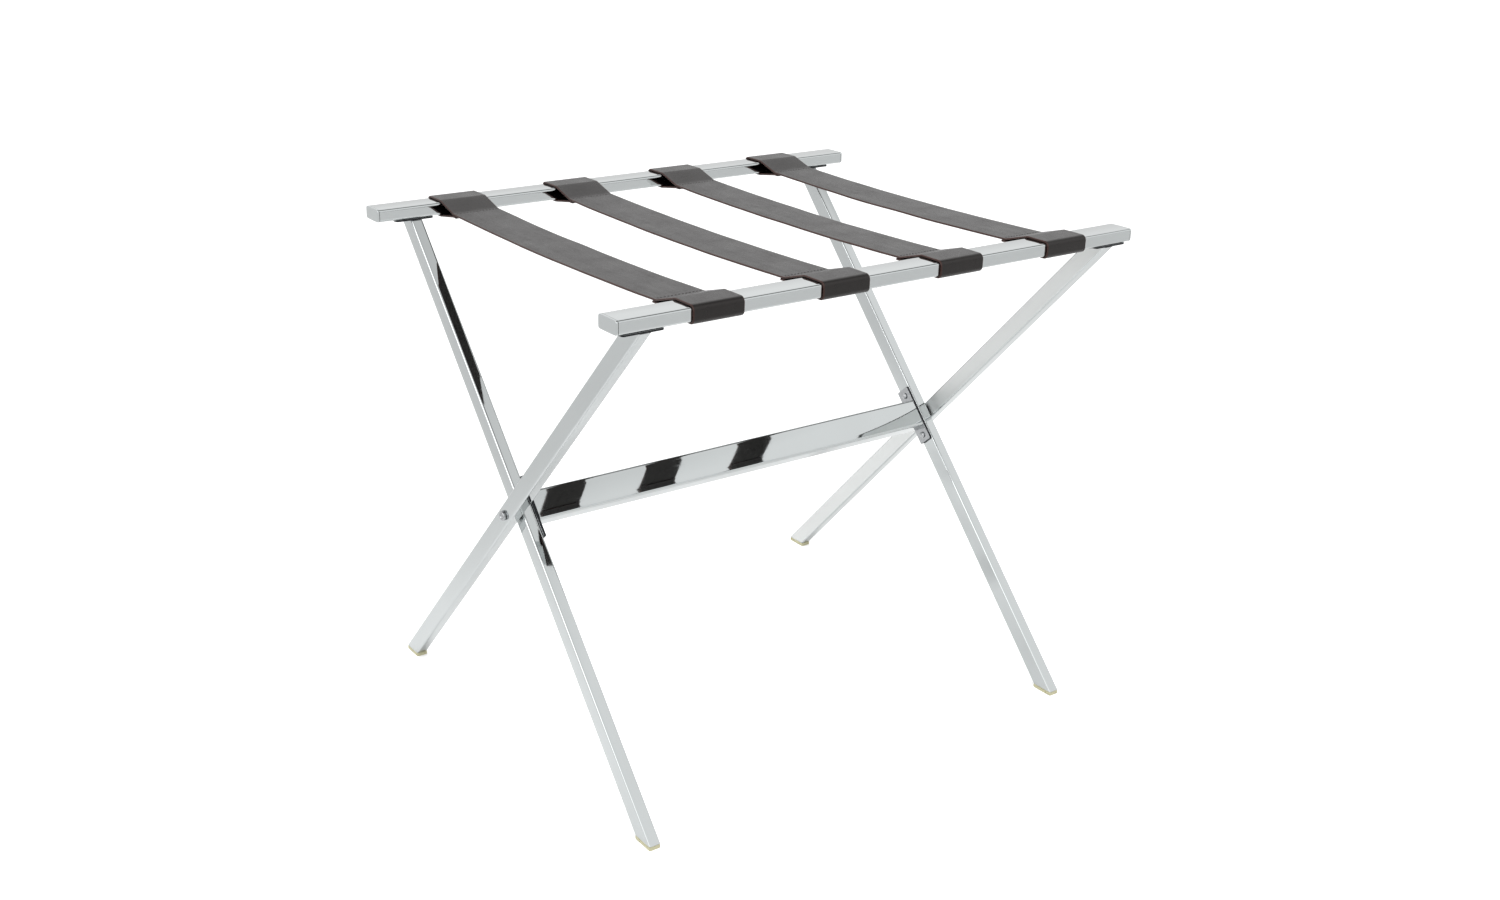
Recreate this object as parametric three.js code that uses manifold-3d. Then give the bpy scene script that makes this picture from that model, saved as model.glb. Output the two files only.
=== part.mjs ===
// Folding luggage rack: two crossed pairs of legs on one hinge line, a top rail on each pair,
// and four straps that stop the legs from spreading further.
// Millimetres. +X runs along the rails, +Y from the front rail to the rear rail, +Z up.
// The origin is on the floor, under the middle of the rack.

import * as THREE from 'three';
import { mergeVertices } from 'three/addons/utils/BufferGeometryUtils.js';
import Module from 'manifold-3d';

const wasm = await Module();
wasm.setup();

// ---- driving dimensions ----

const RACK_LENGTH = 610; // over the rail caps
const RACK_DEPTH = 482.5; // over the two rails, open
const RACK_HEIGHT = 516; // floor to the top of the rails
const GAP = 0.3; // between pieces that touch

const TUBE_WALL = 1.2;

const RAIL_WIDTH = 28.5;
const RAIL_HEIGHT = 13;
const RAIL_RADIUS = 2.5;

const CAP_FLANGE = 2;
const CAP_PLUG = 6; // stops short of the plate screws
const PLUG_CLEARANCE = 0.35;

const LEG_WIDTH = 12.7; // along X
const LEG_DEPTH = 19; // across the leg, in its plane of motion
const LEG_RADIUS = 2;
const LEG_INSET = 23; // rail end to the outer face of an outer leg
const LEG_SPACING = 2; // between an outer leg and the inner leg beside it

const FOOT_PAD = 4;
const FOOT_PLUG = 14;

const PLATE_LENGTH = 42;
const PLATE_WIDTH = 26;
const PLATE_THICKNESS = 2;
const PLATE_RADIUS = 3;
const PLATE_SHIFT = 2; // outward from the leg's middle
const PLATE_SCREW_REACH = 15.5; // plate middle to screw

const SCREW_SHANK_RADIUS = 1.75;
const SCREW_HOLE_RADIUS = 2.3;
const SCREW_HEAD_RADIUS = 3.5;
const SCREW_HEAD_HEIGHT = 2.4;
const SCREW_LENGTH = 8.5;
const SCREW_POINT = 2;

const STRETCHER_HEIGHT = 32;
const STRETCHER_DEPTH = 19;
const STRETCHER_RADIUS = 2.5;
const END_PLATE_LENGTH = 66;
const END_PLATE_THICKNESS = 3;
const END_PLATE_RADIUS = 1.5;
const END_PLATE_SCREW_REACH = 25; // bar middle to screw
const END_PLATE_BORE = 6.8; // clears the pivot nut

const PIVOT_RADIUS = 3;
const PIVOT_HOLE_RADIUS = 3.5;
const PIVOT_HEAD_RADIUS = 5;
const PIVOT_HEAD_HEIGHT = 3;
const WASHER_RADIUS = 8;
const NUT_FLATS = 10;
const NUT_HEIGHT = 5;
const BOLT_PAST_NUT = 1;

const STRAP_WIDTH = 53;
const STRAP_THICKNESS = 2;
const STRAP_SPACING = 138.3; // middle to middle
const STRAP_COUNT = 4;
const STRAP_SAG = 4.5; // middle of the span below its two joins
const JOIN_Y = 186; // where the two layers of a loop meet
const JOIN_TOP = 509; // top face of the strap at the join
const TAIL_LENGTH = 5; // the sewn overlap under the span

// ---- places worked out from them ----

const RAIL_Y = RACK_DEPTH / 2 - RAIL_WIDTH / 2;
const RAIL_Z = RACK_HEIGHT - RAIL_HEIGHT / 2;
const PLATE_TOP = RACK_HEIGHT - RAIL_HEIGHT - GAP;
const LEG_TOP = PLATE_TOP - PLATE_THICKNESS - GAP;
const LEG_BOTTOM = FOOT_PAD + GAP;
const PIVOT_Z = (LEG_TOP + LEG_BOTTOM) / 2;
const LEG_RUN = 2 * RAIL_Y / (LEG_TOP - LEG_BOTTOM); // sideways travel for each unit of height
const LEG_LEAN = Math.atan(LEG_RUN); // from the vertical
const LEG_CUT = LEG_DEPTH / Math.cos(LEG_LEAN); // level length of the leg's cut ends
const OUTER_X = RACK_LENGTH / 2 - LEG_INSET - LEG_WIDTH / 2;
const INNER_X = OUTER_X - LEG_WIDTH - LEG_SPACING;
const INNER_FACE = INNER_X - LEG_WIDTH / 2;
const END_PLATE_FACE = INNER_FACE - GAP - END_PLATE_THICKNESS;

const CORNER_STEPS = 3; // in a quarter turn
const ROUND_STEPS = 20; // in a full turn
const SCREW_STEPS = 12;
const DOME_STEPS = 4;

// ---- finishes ----

const FINISHES = {
  chrome: { color: 0xd9dcdc, roughness: 0.12, metalness: 1 },
  zinc: { color: 0xb4b6b5, roughness: 0.35, metalness: 1 },
  leatherette: { color: 0x2e2826, roughness: 0.55, metalness: 0 },
  clear_plastic: { color: 0xc9c69f, roughness: 0.3, metalness: 0 },
  nylon: { color: 0x24262a, roughness: 0.5, metalness: 0 },
};

function piece(name, geometry, finish) {
  const mesh = new THREE.Mesh(geometry, new THREE.MeshStandardMaterial(FINISHES[finish]));
  mesh.name = name;
  return mesh;
}

// ---- joining and cutting ----

function toSolid(geometry) {
  const bare = geometry.clone();
  bare.deleteAttribute('normal');
  bare.deleteAttribute('uv');
  const merged = mergeVertices(bare);
  const vertProperties = new Float32Array(merged.attributes.position.array);
  const triVerts = new Uint32Array(merged.index.array);
  return new wasm.Manifold(new wasm.Mesh({ numProp: 3, vertProperties, triVerts }));
}

function toGeometry(solid) {
  const mesh = solid.getMesh();
  const geometry = new THREE.BufferGeometry();
  geometry.setAttribute('position', new THREE.BufferAttribute(mesh.vertProperties, 3));
  geometry.setIndex(new THREE.BufferAttribute(mesh.triVerts, 1));
  geometry.computeVertexNormals();
  return geometry;
}

function cut(geometry, tools) {
  return toGeometry(tools.reduce((left, tool) => left.subtract(toSolid(tool)), toSolid(geometry)));
}

function join(geometry, other) {
  return toGeometry(toSolid(geometry).add(toSolid(other)));
}

// ---- outlines ----

// Points along an arc about (x, y), with its angles in degrees.
function arcPoints(x, y, radius, from, to, steps = CORNER_STEPS) {
  const points = [];
  for (let i = 0; i <= steps; i += 1) {
    const turn = THREE.MathUtils.degToRad(from + (to - from) * i / steps);
    points.push(new THREE.Vector2(x + radius * Math.cos(turn), y + radius * Math.sin(turn)));
  }
  return points;
}

function roundedRectangle(width, height, radius) {
  const x = width / 2 - radius;
  const y = height / 2 - radius;
  return [
    ...arcPoints(x, y, radius, 0, 90),
    ...arcPoints(-x, y, radius, 90, 180),
    ...arcPoints(-x, -y, radius, 180, 270),
    ...arcPoints(x, -y, radius, 270, 360),
  ];
}

function circle(x, y, radius, steps) {
  return arcPoints(x, y, radius, 0, 360, steps).slice(1);
}

function outlined(points, holes = []) {
  const outline = new THREE.Shape(points);
  outline.holes = holes.map((hole) => new THREE.Path(hole));
  return outline;
}

function boxTube(width, height, radius) {
  const inside = roundedRectangle(
    width - 2 * TUBE_WALL, height - 2 * TUBE_WALL, radius - TUBE_WALL);
  return outlined(roundedRectangle(width, height, radius), [inside]);
}

function extrude(outline, depth) {
  return new THREE.ExtrudeGeometry(outline, { depth, bevelEnabled: false });
}

// Turns an outline drawn across (Y, Z) and pulled along Z into one pulled along X, about its middle.
function alongX(geometry, depth) {
  const turn = new THREE.Matrix4().makeBasis(
    new THREE.Vector3(0, 1, 0), new THREE.Vector3(0, 0, 1), new THREE.Vector3(1, 0, 0));
  return geometry.translate(0, 0, -depth / 2).applyMatrix4(turn);
}

// A cutting rod along X through (y, z).
function rodAlongX(radius, length, y, z) {
  return new THREE.CylinderGeometry(radius, radius, length, ROUND_STEPS)
    .rotateZ(Math.PI / 2)
    .translate(0, y, z);
}

// ---- rails and caps ----

function railTube(plateMiddle) {
  const length = RACK_LENGTH - 2 * (CAP_FLANGE + GAP);
  const tube = alongX(extrude(boxTube(RAIL_WIDTH, RAIL_HEIGHT, RAIL_RADIUS), length), length);
  const holes = [];
  for (const side of [-1, 1]) {
    for (const along of [-PLATE_SCREW_REACH, PLATE_SCREW_REACH]) {
      const drill = new THREE.CylinderGeometry(
        SCREW_HOLE_RADIUS, SCREW_HOLE_RADIUS, 4 * TUBE_WALL, SCREW_STEPS);
      drill.rotateX(Math.PI / 2).translate(side * (plateMiddle + along), 0, -RAIL_HEIGHT / 2);
      holes.push(drill);
    }
  }
  return cut(tube, holes);
}

// The flange faces +X, and the plug reaches back into the rail.
function railCap() {
  const face = outlined(roundedRectangle(RAIL_WIDTH, RAIL_HEIGHT, RAIL_RADIUS));
  const flange = alongX(extrude(face, CAP_FLANGE), CAP_FLANGE);
  const shrink = 2 * (TUBE_WALL + PLUG_CLEARANCE);
  const outline = outlined(roundedRectangle(
    RAIL_WIDTH - shrink, RAIL_HEIGHT - shrink, RAIL_RADIUS - TUBE_WALL));
  const plugLength = CAP_PLUG + CAP_FLANGE / 2;
  const plug = alongX(extrude(outline, plugLength), plugLength).translate(-plugLength / 2, 0, 0);
  return join(flange, plug);
}

// ---- legs, feet and plates ----

// A level slice of a leg, pulled up to the given height while it leans by LEG_RUN.
function leaning(outline, height, lean) {
  const slice = extrude(outline, height);
  const shear = new THREE.Matrix4().set(
    1, 0, 0, 0,
    0, 1 / Math.cos(LEG_LEAN), lean * LEG_RUN, 0,
    0, 0, 1, 0,
    0, 0, 0, 1);
  return slice.applyMatrix4(shear);
}

// lean is +1 where the top goes to +Y. The leg's middle, on the hinge line, is at the origin.
function leg(lean, extraHoles = []) {
  const height = LEG_TOP - LEG_BOTTOM;
  const tube = leaning(boxTube(LEG_WIDTH, LEG_DEPTH, LEG_RADIUS), height, lean);
  tube.translate(0, -lean * LEG_RUN * height / 2, -height / 2);
  return cut(tube, [rodAlongX(PIVOT_HOLE_RADIUS, 2 * LEG_WIDTH, 0, 0), ...extraHoles]);
}

// Screw holes in the inner face of an inner leg, on the side given.
function legScrewHoles(side) {
  return [-END_PLATE_SCREW_REACH, END_PLATE_SCREW_REACH].map((reach) => {
    const y = reach * Math.sin(LEG_LEAN);
    const z = reach * Math.cos(LEG_LEAN);
    return rodAlongX(SCREW_HOLE_RADIUS, LEG_WIDTH, y, z).translate(-side * LEG_WIDTH / 2, 0, 0);
  });
}

// Pad on the floor with a plug that follows the leg's lean. The origin is on the floor.
function foot(lean) {
  const pad = extrude(outlined(roundedRectangle(LEG_WIDTH, LEG_CUT, LEG_RADIUS)), FOOT_PAD);
  const shrink = 2 * (TUBE_WALL + PLUG_CLEARANCE);
  const outline = outlined(roundedRectangle(
    LEG_WIDTH - shrink, LEG_DEPTH - shrink, LEG_RADIUS - TUBE_WALL));
  const below = FOOT_PAD / 2;
  const plug = leaning(outline, FOOT_PLUG + below, lean);
  plug.translate(0, -lean * LEG_RUN * (below + GAP), FOOT_PAD - below);
  return join(pad, plug);
}

function legPlate() {
  const holes = [-PLATE_SCREW_REACH, PLATE_SCREW_REACH].map(
    (along) => circle(along, 0, SCREW_HOLE_RADIUS, SCREW_STEPS));
  const outline = outlined(roundedRectangle(PLATE_LENGTH, PLATE_WIDTH, PLATE_RADIUS), holes);
  return extrude(outline, PLATE_THICKNESS);
}

// ---- fasteners ----

// Pan-head screw, head up, with the underside of its head at the origin.
function crossScrew() {
  const profile = new THREE.Path();
  profile.moveTo(0, -SCREW_LENGTH);
  profile.lineTo(SCREW_SHANK_RADIUS, -SCREW_LENGTH + SCREW_POINT);
  profile.lineTo(SCREW_SHANK_RADIUS, 0);
  profile.lineTo(SCREW_HEAD_RADIUS, 0);
  profile.lineTo(SCREW_HEAD_RADIUS, SCREW_HEAD_HEIGHT * 0.35);
  profile.quadraticCurveTo(
    SCREW_HEAD_RADIUS * 0.92, SCREW_HEAD_HEIGHT, 0, SCREW_HEAD_HEIGHT);
  const points = profile.getPoints(DOME_STEPS);
  const body = new THREE.LatheGeometry(points, SCREW_STEPS).rotateX(Math.PI / 2);
  const slotLength = SCREW_HEAD_RADIUS * 1.15;
  const slotWidth = SCREW_HEAD_RADIUS * 0.26;
  const slotDepth = SCREW_HEAD_HEIGHT * 0.6;
  const slots = [0, Math.PI / 2].map((turn) => new THREE.BoxGeometry(
    slotLength, slotWidth, 2 * slotDepth).rotateZ(turn).translate(0, 0, SCREW_HEAD_HEIGHT));
  return cut(body, slots);
}

// Domed bolt along X: the head is at +X, and its underside is at the origin.
function pivotBolt() {
  const length = OUTER_X + LEG_WIDTH / 2 + GAP - (INNER_FACE - GAP - NUT_HEIGHT - BOLT_PAST_NUT);
  const chamfer = PIVOT_RADIUS * 0.2;
  const profile = new THREE.Path();
  profile.moveTo(0, -length);
  profile.lineTo(PIVOT_RADIUS - chamfer, -length);
  profile.lineTo(PIVOT_RADIUS, -length + chamfer);
  profile.lineTo(PIVOT_RADIUS, 0);
  profile.lineTo(PIVOT_HEAD_RADIUS, 0);
  profile.lineTo(PIVOT_HEAD_RADIUS, PIVOT_HEAD_HEIGHT * 0.3);
  profile.quadraticCurveTo(
    PIVOT_HEAD_RADIUS * 0.8, PIVOT_HEAD_HEIGHT, 0, PIVOT_HEAD_HEIGHT);
  return new THREE.LatheGeometry(profile.getPoints(DOME_STEPS), ROUND_STEPS).rotateZ(-Math.PI / 2);
}

function washer() {
  const thickness = LEG_SPACING - 2 * GAP;
  const hole = circle(0, 0, PIVOT_HOLE_RADIUS, ROUND_STEPS);
  const outline = outlined(circle(0, 0, WASHER_RADIUS, ROUND_STEPS), [hole]);
  return alongX(extrude(outline, thickness), thickness);
}

function nut() {
  const hole = circle(0, 0, PIVOT_HOLE_RADIUS, ROUND_STEPS);
  const outline = outlined(circle(0, 0, NUT_FLATS / Math.sqrt(3), 6), [hole]);
  return alongX(extrude(outline, NUT_HEIGHT), NUT_HEIGHT);
}

// ---- stretcher ----

function stretcherBar() {
  const length = 2 * (END_PLATE_FACE - GAP);
  const outline = boxTube(STRETCHER_DEPTH, STRETCHER_HEIGHT, STRETCHER_RADIUS);
  return alongX(extrude(outline, length), length);
}

function endPlate() {
  const holes = [-END_PLATE_SCREW_REACH, END_PLATE_SCREW_REACH].map(
    (reach) => circle(0, reach, SCREW_HOLE_RADIUS, SCREW_STEPS));
  holes.push(circle(0, 0, END_PLATE_BORE, ROUND_STEPS));
  const face = roundedRectangle(LEG_DEPTH, END_PLATE_LENGTH, END_PLATE_RADIUS);
  return alongX(extrude(outlined(face, holes), END_PLATE_THICKNESS), END_PLATE_THICKNESS);
}

// ---- straps ----

const CORNER_Y = RAIL_Y - RAIL_WIDTH / 2 + RAIL_RADIUS; // middle of the rail's inner corner arcs
const UPPER_CORNER_Z = RACK_HEIGHT - RAIL_RADIUS;
const LOWER_CORNER_Z = RACK_HEIGHT - RAIL_HEIGHT + RAIL_RADIUS;
const INSIDE = RAIL_RADIUS + GAP; // a loop's inner face, from a corner's middle
const OUTSIDE = INSIDE + STRAP_THICKNESS;

function pullAlongX(points, end) {
  const outline = outlined(points.map((p) => new THREE.Vector2(end * p.x, p.y)));
  return alongX(extrude(outline, STRAP_WIDTH), STRAP_WIDTH);
}

// The part of a strap that wraps the rail: over the top, down the far side and back underneath.
function strapLoop(end) {
  const farY = RAIL_Y + RAIL_WIDTH / 2 - RAIL_RADIUS;
  return pullAlongX([
    new THREE.Vector2(CORNER_Y, UPPER_CORNER_Z + OUTSIDE),
    ...arcPoints(farY, UPPER_CORNER_Z, OUTSIDE, 90, 0),
    ...arcPoints(farY, LOWER_CORNER_Z, OUTSIDE, 0, -90),
    new THREE.Vector2(CORNER_Y, LOWER_CORNER_Z - OUTSIDE),
    new THREE.Vector2(CORNER_Y, LOWER_CORNER_Z - INSIDE),
    ...arcPoints(farY, LOWER_CORNER_Z, INSIDE, -90, 0),
    ...arcPoints(farY, UPPER_CORNER_Z, INSIDE, 0, 90),
    new THREE.Vector2(CORNER_Y, UPPER_CORNER_Z + INSIDE),
  ], end);
}

// Half of a span, from the middle out to the rail, as its upper outline and its lower outline.
function halfSpan() {
  const cutY = CORNER_Y - GAP;
  const upperFall = 90 + THREE.MathUtils.radToDeg(
    Math.atan2(UPPER_CORNER_Z + OUTSIDE - JOIN_TOP, CORNER_Y - JOIN_Y));
  const joinBottom = JOIN_TOP - 2 * STRAP_THICKNESS;
  const lowerRise = 270 - THREE.MathUtils.radToDeg(
    Math.atan2(joinBottom - LOWER_CORNER_Z + OUTSIDE, CORNER_Y - JOIN_Y));
  const sagAt = (y) => JOIN_TOP - STRAP_SAG * (1 - (y / JOIN_Y) ** 2);
  const tailY = JOIN_Y - TAIL_LENGTH;
  const stations = [0, 0.2, 0.4, 0.6, 0.8].map((share) => share * tailY);

  const top = stations.map((y) => new THREE.Vector2(y, sagAt(y)));
  top.push(new THREE.Vector2(tailY, sagAt(tailY)), new THREE.Vector2(JOIN_Y, JOIN_TOP));
  top.push(...arcPoints(cutY, UPPER_CORNER_Z, OUTSIDE, upperFall, 90));

  const mouth = [
    ...arcPoints(cutY, UPPER_CORNER_Z, INSIDE, 90, upperFall),
    new THREE.Vector2(JOIN_Y + 2 * STRAP_THICKNESS, JOIN_TOP - STRAP_THICKNESS + GAP),
    ...arcPoints(cutY, LOWER_CORNER_Z, INSIDE, lowerRise, 270),
  ];

  const bottom = arcPoints(cutY, LOWER_CORNER_Z, OUTSIDE, 270, lowerRise);
  bottom.push(new THREE.Vector2(JOIN_Y, joinBottom));
  bottom.push(new THREE.Vector2(tailY, sagAt(tailY) - 2 * STRAP_THICKNESS));
  bottom.push(new THREE.Vector2(tailY, sagAt(tailY) - STRAP_THICKNESS));
  bottom.push(...stations.reverse().map((y) => new THREE.Vector2(y, sagAt(y) - STRAP_THICKNESS)));
  return [...top, ...mouth, ...bottom];
}

function strapSpan() {
  const half = halfSpan();
  const mirrored = half.slice(1, -1).reverse().map((p) => new THREE.Vector2(-p.x, p.y));
  return pullAlongX([...half, ...mirrored], 1);
}

// ---- assembly ----

const SIDES = [['left', -1], ['right', 1]];

function place(mesh, x, y, z) {
  mesh.position.set(x, y, z);
  return mesh;
}

// Everything that a frame has at its top: the rail, its caps, and the legs' plates and screws.
function topOf(frame, railName, railY, legX) {
  const plateMiddle = legX + PLATE_SHIFT;
  frame.add(place(piece(`${railName}_rail`, railTube(plateMiddle), 'chrome'), 0, railY, RAIL_Z));
  for (const [sideName, side] of SIDES) {
    const cap = piece(`${railName}_rail_cap_${sideName}`, railCap(), 'chrome');
    cap.rotation.z = side > 0 ? 0 : Math.PI;
    frame.add(place(cap, side * (RACK_LENGTH - CAP_FLANGE) / 2, railY, RAIL_Z));

    const plate = piece(`${railName}_leg_plate_${sideName}`, legPlate(), 'chrome');
    frame.add(place(plate, side * plateMiddle, railY, PLATE_TOP - PLATE_THICKNESS));

    for (const [screwName, along] of [['inboard', -1], ['outboard', 1]]) {
      const name = `${railName}_plate_screw_${sideName}_${screwName}`;
      const screw = piece(name, crossScrew(), 'zinc');
      screw.rotation.x = Math.PI;
      const x = side * (plateMiddle + along * PLATE_SCREW_REACH);
      frame.add(place(screw, x, railY, PLATE_TOP - PLATE_THICKNESS - GAP));
    }
  }
}

function outerFrame() {
  const frame = new THREE.Group();
  topOf(frame, 'front', -RAIL_Y, OUTER_X);
  for (const [sideName, side] of SIDES) {
    frame.add(place(piece(`outer_leg_${sideName}`, leg(-1), 'chrome'), side * OUTER_X, 0, PIVOT_Z));
    frame.add(place(piece(`outer_foot_${sideName}`, foot(-1), 'clear_plastic'),
      side * OUTER_X, RAIL_Y, 0));

    const bolt = piece(`pivot_bolt_${sideName}`, pivotBolt(), 'chrome');
    bolt.rotation.z = side > 0 ? 0 : Math.PI;
    frame.add(place(bolt, side * (OUTER_X + LEG_WIDTH / 2 + GAP), 0, PIVOT_Z));

    const washerX = (OUTER_X + INNER_X) / 2;
    frame.add(place(piece(`pivot_washer_${sideName}`, washer(), 'nylon'), side * washerX, 0, PIVOT_Z));

    const nutX = INNER_FACE - GAP - NUT_HEIGHT / 2;
    frame.add(place(piece(`pivot_nut_${sideName}`, nut(), 'zinc'), side * nutX, 0, PIVOT_Z));
  }
  return frame;
}

// The bar between the inner legs, in a group that leans with them.
function stretcher() {
  const group = place(new THREE.Group(), 0, 0, PIVOT_Z);
  group.rotation.x = -LEG_LEAN;
  group.add(piece('stretcher_bar', stretcherBar(), 'chrome'));
  for (const [sideName, side] of SIDES) {
    const plateX = side * (END_PLATE_FACE + END_PLATE_THICKNESS / 2);
    group.add(place(piece(`stretcher_plate_${sideName}`, endPlate(), 'chrome'), plateX, 0, 0));
    for (const [screwName, end] of [['lower', -1], ['upper', 1]]) {
      const screw = piece(`stretcher_screw_${sideName}_${screwName}`, crossScrew(), 'zinc');
      screw.rotation.y = -side * Math.PI / 2;
      group.add(place(screw, side * (END_PLATE_FACE - GAP), 0, end * END_PLATE_SCREW_REACH));
    }
  }
  return group;
}

function innerFrame() {
  const frame = new THREE.Group();
  topOf(frame, 'rear', RAIL_Y, INNER_X);
  for (const [sideName, side] of SIDES) {
    const innerLeg = piece(`inner_leg_${sideName}`, leg(1, legScrewHoles(side)), 'chrome');
    frame.add(place(innerLeg, side * INNER_X, 0, PIVOT_Z));
    frame.add(place(piece(`inner_foot_${sideName}`, foot(1), 'clear_plastic'),
      side * INNER_X, -RAIL_Y, 0));
  }
  frame.add(stretcher());
  return frame;
}

function straps() {
  const group = new THREE.Group();
  for (let i = 0; i < STRAP_COUNT; i += 1) {
    const strap = place(new THREE.Group(), (i - (STRAP_COUNT - 1) / 2) * STRAP_SPACING, 0, 0);
    strap.add(piece(`strap_${i + 1}_front_loop`, strapLoop(-1), 'leatherette'));
    strap.add(piece(`strap_${i + 1}_span`, strapSpan(), 'leatherette'));
    strap.add(piece(`strap_${i + 1}_rear_loop`, strapLoop(1), 'leatherette'));
    group.add(strap);
  }
  return group;
}

const rack = new THREE.Group();
rack.add(outerFrame(), innerFrame(), straps());

export default rack;
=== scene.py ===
# Folding luggage rack: chrome tube frame on one hinge line, four leatherette belts, clear feet.
# Metres. +X runs along the rails, +Y from the front rail to the rear rail, +Z up from the floor.

import math

import bmesh
import bpy
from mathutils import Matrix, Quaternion, Vector


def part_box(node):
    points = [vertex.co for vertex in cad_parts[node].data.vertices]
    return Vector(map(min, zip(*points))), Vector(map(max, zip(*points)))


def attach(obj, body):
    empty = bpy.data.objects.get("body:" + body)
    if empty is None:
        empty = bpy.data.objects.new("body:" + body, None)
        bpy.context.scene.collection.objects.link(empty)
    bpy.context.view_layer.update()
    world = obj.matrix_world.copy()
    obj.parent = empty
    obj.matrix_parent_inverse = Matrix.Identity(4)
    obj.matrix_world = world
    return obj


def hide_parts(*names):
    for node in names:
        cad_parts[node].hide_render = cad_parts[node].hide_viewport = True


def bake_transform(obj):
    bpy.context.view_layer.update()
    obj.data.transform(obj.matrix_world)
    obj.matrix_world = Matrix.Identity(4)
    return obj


bl_info = {
    "name": "Folding Luggage Rack",
    "version": (1, 0, 0),
    "blender": (4, 5, 0),
    "location": "View3D > Sidebar > Luggage Rack",
    "description": "Builds a chrome folding luggage rack with leatherette belts around its frame",
    "category": "Add Mesh",
}

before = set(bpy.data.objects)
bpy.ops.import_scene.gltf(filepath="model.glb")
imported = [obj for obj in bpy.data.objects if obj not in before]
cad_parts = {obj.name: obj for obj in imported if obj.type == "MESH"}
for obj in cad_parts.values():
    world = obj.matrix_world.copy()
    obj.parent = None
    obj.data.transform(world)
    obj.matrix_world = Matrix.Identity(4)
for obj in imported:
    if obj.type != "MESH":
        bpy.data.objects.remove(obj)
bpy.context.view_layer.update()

MM = 0.001
OUTER, INNER = "outer_frame", "inner_frame"
SIDES = (("left", -1), ("right", 1))
RAILS = (("front", -1, OUTER), ("rear", 1, INNER))
SUPPORT = 0.3 * MM  # width of the flat strip that keeps a face's shading flat beside its rounding
WELD_GAP = 0.3 * MM  # between two pieces that are welded or pressed together
DRILL_REACH = 12 * MM  # long enough to go through one wall or plate


# ---- places taken from the frame ----

def middle(node):
    low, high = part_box(node)
    return (low + high) / 2


def extent(node):
    low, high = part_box(node)
    return high - low


def near_and_far(node, side):
    """A node's least and greatest distance from the rack's middle, on its own side."""
    low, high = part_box(node)
    return (low.x, high.x) if side > 0 else (-high.x, -low.x)


RAIL_LOW, RAIL_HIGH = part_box("rear_rail")
RAIL_Y, RAIL_Z = middle("rear_rail").y, middle("rear_rail").z
RAIL_WIDTH, RAIL_HEIGHT = extent("rear_rail").y, extent("rear_rail").z
RACK_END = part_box("rear_rail_cap_right")[1].x
LEG_LOW, LEG_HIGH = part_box("outer_leg_right")
LEG_WIDTH = LEG_HIGH.x - LEG_LOW.x
LEG_HEIGHT = LEG_HIGH.z - LEG_LOW.z
LEG_RUN = 2 * RAIL_Y / LEG_HEIGHT  # sideways travel for each unit of height
LEG_LEAN = math.atan(LEG_RUN)
LEG_DEPTH = (LEG_HIGH.y - LEG_LOW.y - 2 * RAIL_Y) * math.cos(LEG_LEAN)
PIVOT_Z = middle("outer_leg_right").z
BELT_NAMES = ("strap_1", "strap_2", "strap_3", "strap_4")
BELT_WIDTH = extent("strap_1_span").x
BELT_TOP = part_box("strap_1_rear_loop")[1].z
BELT_GAP = 0.3 * MM  # between a belt and its rail
BELT_THICKNESS = (extent("strap_1_rear_loop").z - RAIL_HEIGHT) / 2 - BELT_GAP
LAYER_GAP = 0.2 * MM  # between the two layers of a belt where they are sewn
WAVE_SIZE = 0.07  # of the soft waves along a belt
CUPPING = 0.25 * MM  # how far a slack belt's edges drop below its middle
SIDE_STEPS = 8  # along each bowed side of a tube
SPAN_STEPS = 24  # from the middle of a belt to the end of its free span


# ---- settings that a user would change ----

def length(name, description, value, low=0.0):
    return bpy.props.FloatProperty(
        name=name, description=description, default=value, min=low, precision=5, unit="LENGTH")


def colour(name, description, value):
    return bpy.props.FloatVectorProperty(
        name=name, description=description, default=value, min=0, max=1, size=3, subtype="COLOR")


class FrameSizes(bpy.types.PropertyGroup):
    """Sizes of the tubes, plates and fasteners"""
    wall: length("Tube wall", "Wall thickness of every tube", 1.2 * MM)
    rail_radius: length("Rail corner", "Outer corner radius of the rails", 2.5 * MM)
    leg_radius: length("Leg corner", "Outer corner radius of the legs", 2 * MM)
    stretcher_radius: length("Stretcher corner", "Outer corner radius of the stretcher", 2.5 * MM)
    bow: length("Face bow", "Radius that the tubes' faces are bowed out to", 0.4)
    edge: length("Edge rounding", "Rounding of sawn and stamped edges", 0.25 * MM)
    cap_edge: length("Cap rounding", "Rounding round the face of a rail cap", 0.8 * MM)
    plate_radius: length("Plate corner", "Corner radius of the leg plates", 3 * MM)
    plug_clearance: length("Plug clearance", "Gap round a plug inside its tube", 0.35 * MM)
    head_radius: length("Screw head radius", "Radius of the pan heads", 3.5 * MM)
    head_height: length("Screw head height", "Height of the pan heads", 2.4 * MM)
    shank_radius: length("Screw radius", "Radius of the screw shanks", 1.75 * MM)
    screw_bore: length("Screw bore", "Radius of the holes for the screws", 2.3 * MM)
    pivot_bore: length("Pivot bore", "Radius of the holes for the pivot bolts", 3.5 * MM)
    pivot_radius: length("Pivot radius", "Radius of the pivot bolts", 3 * MM)


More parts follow.
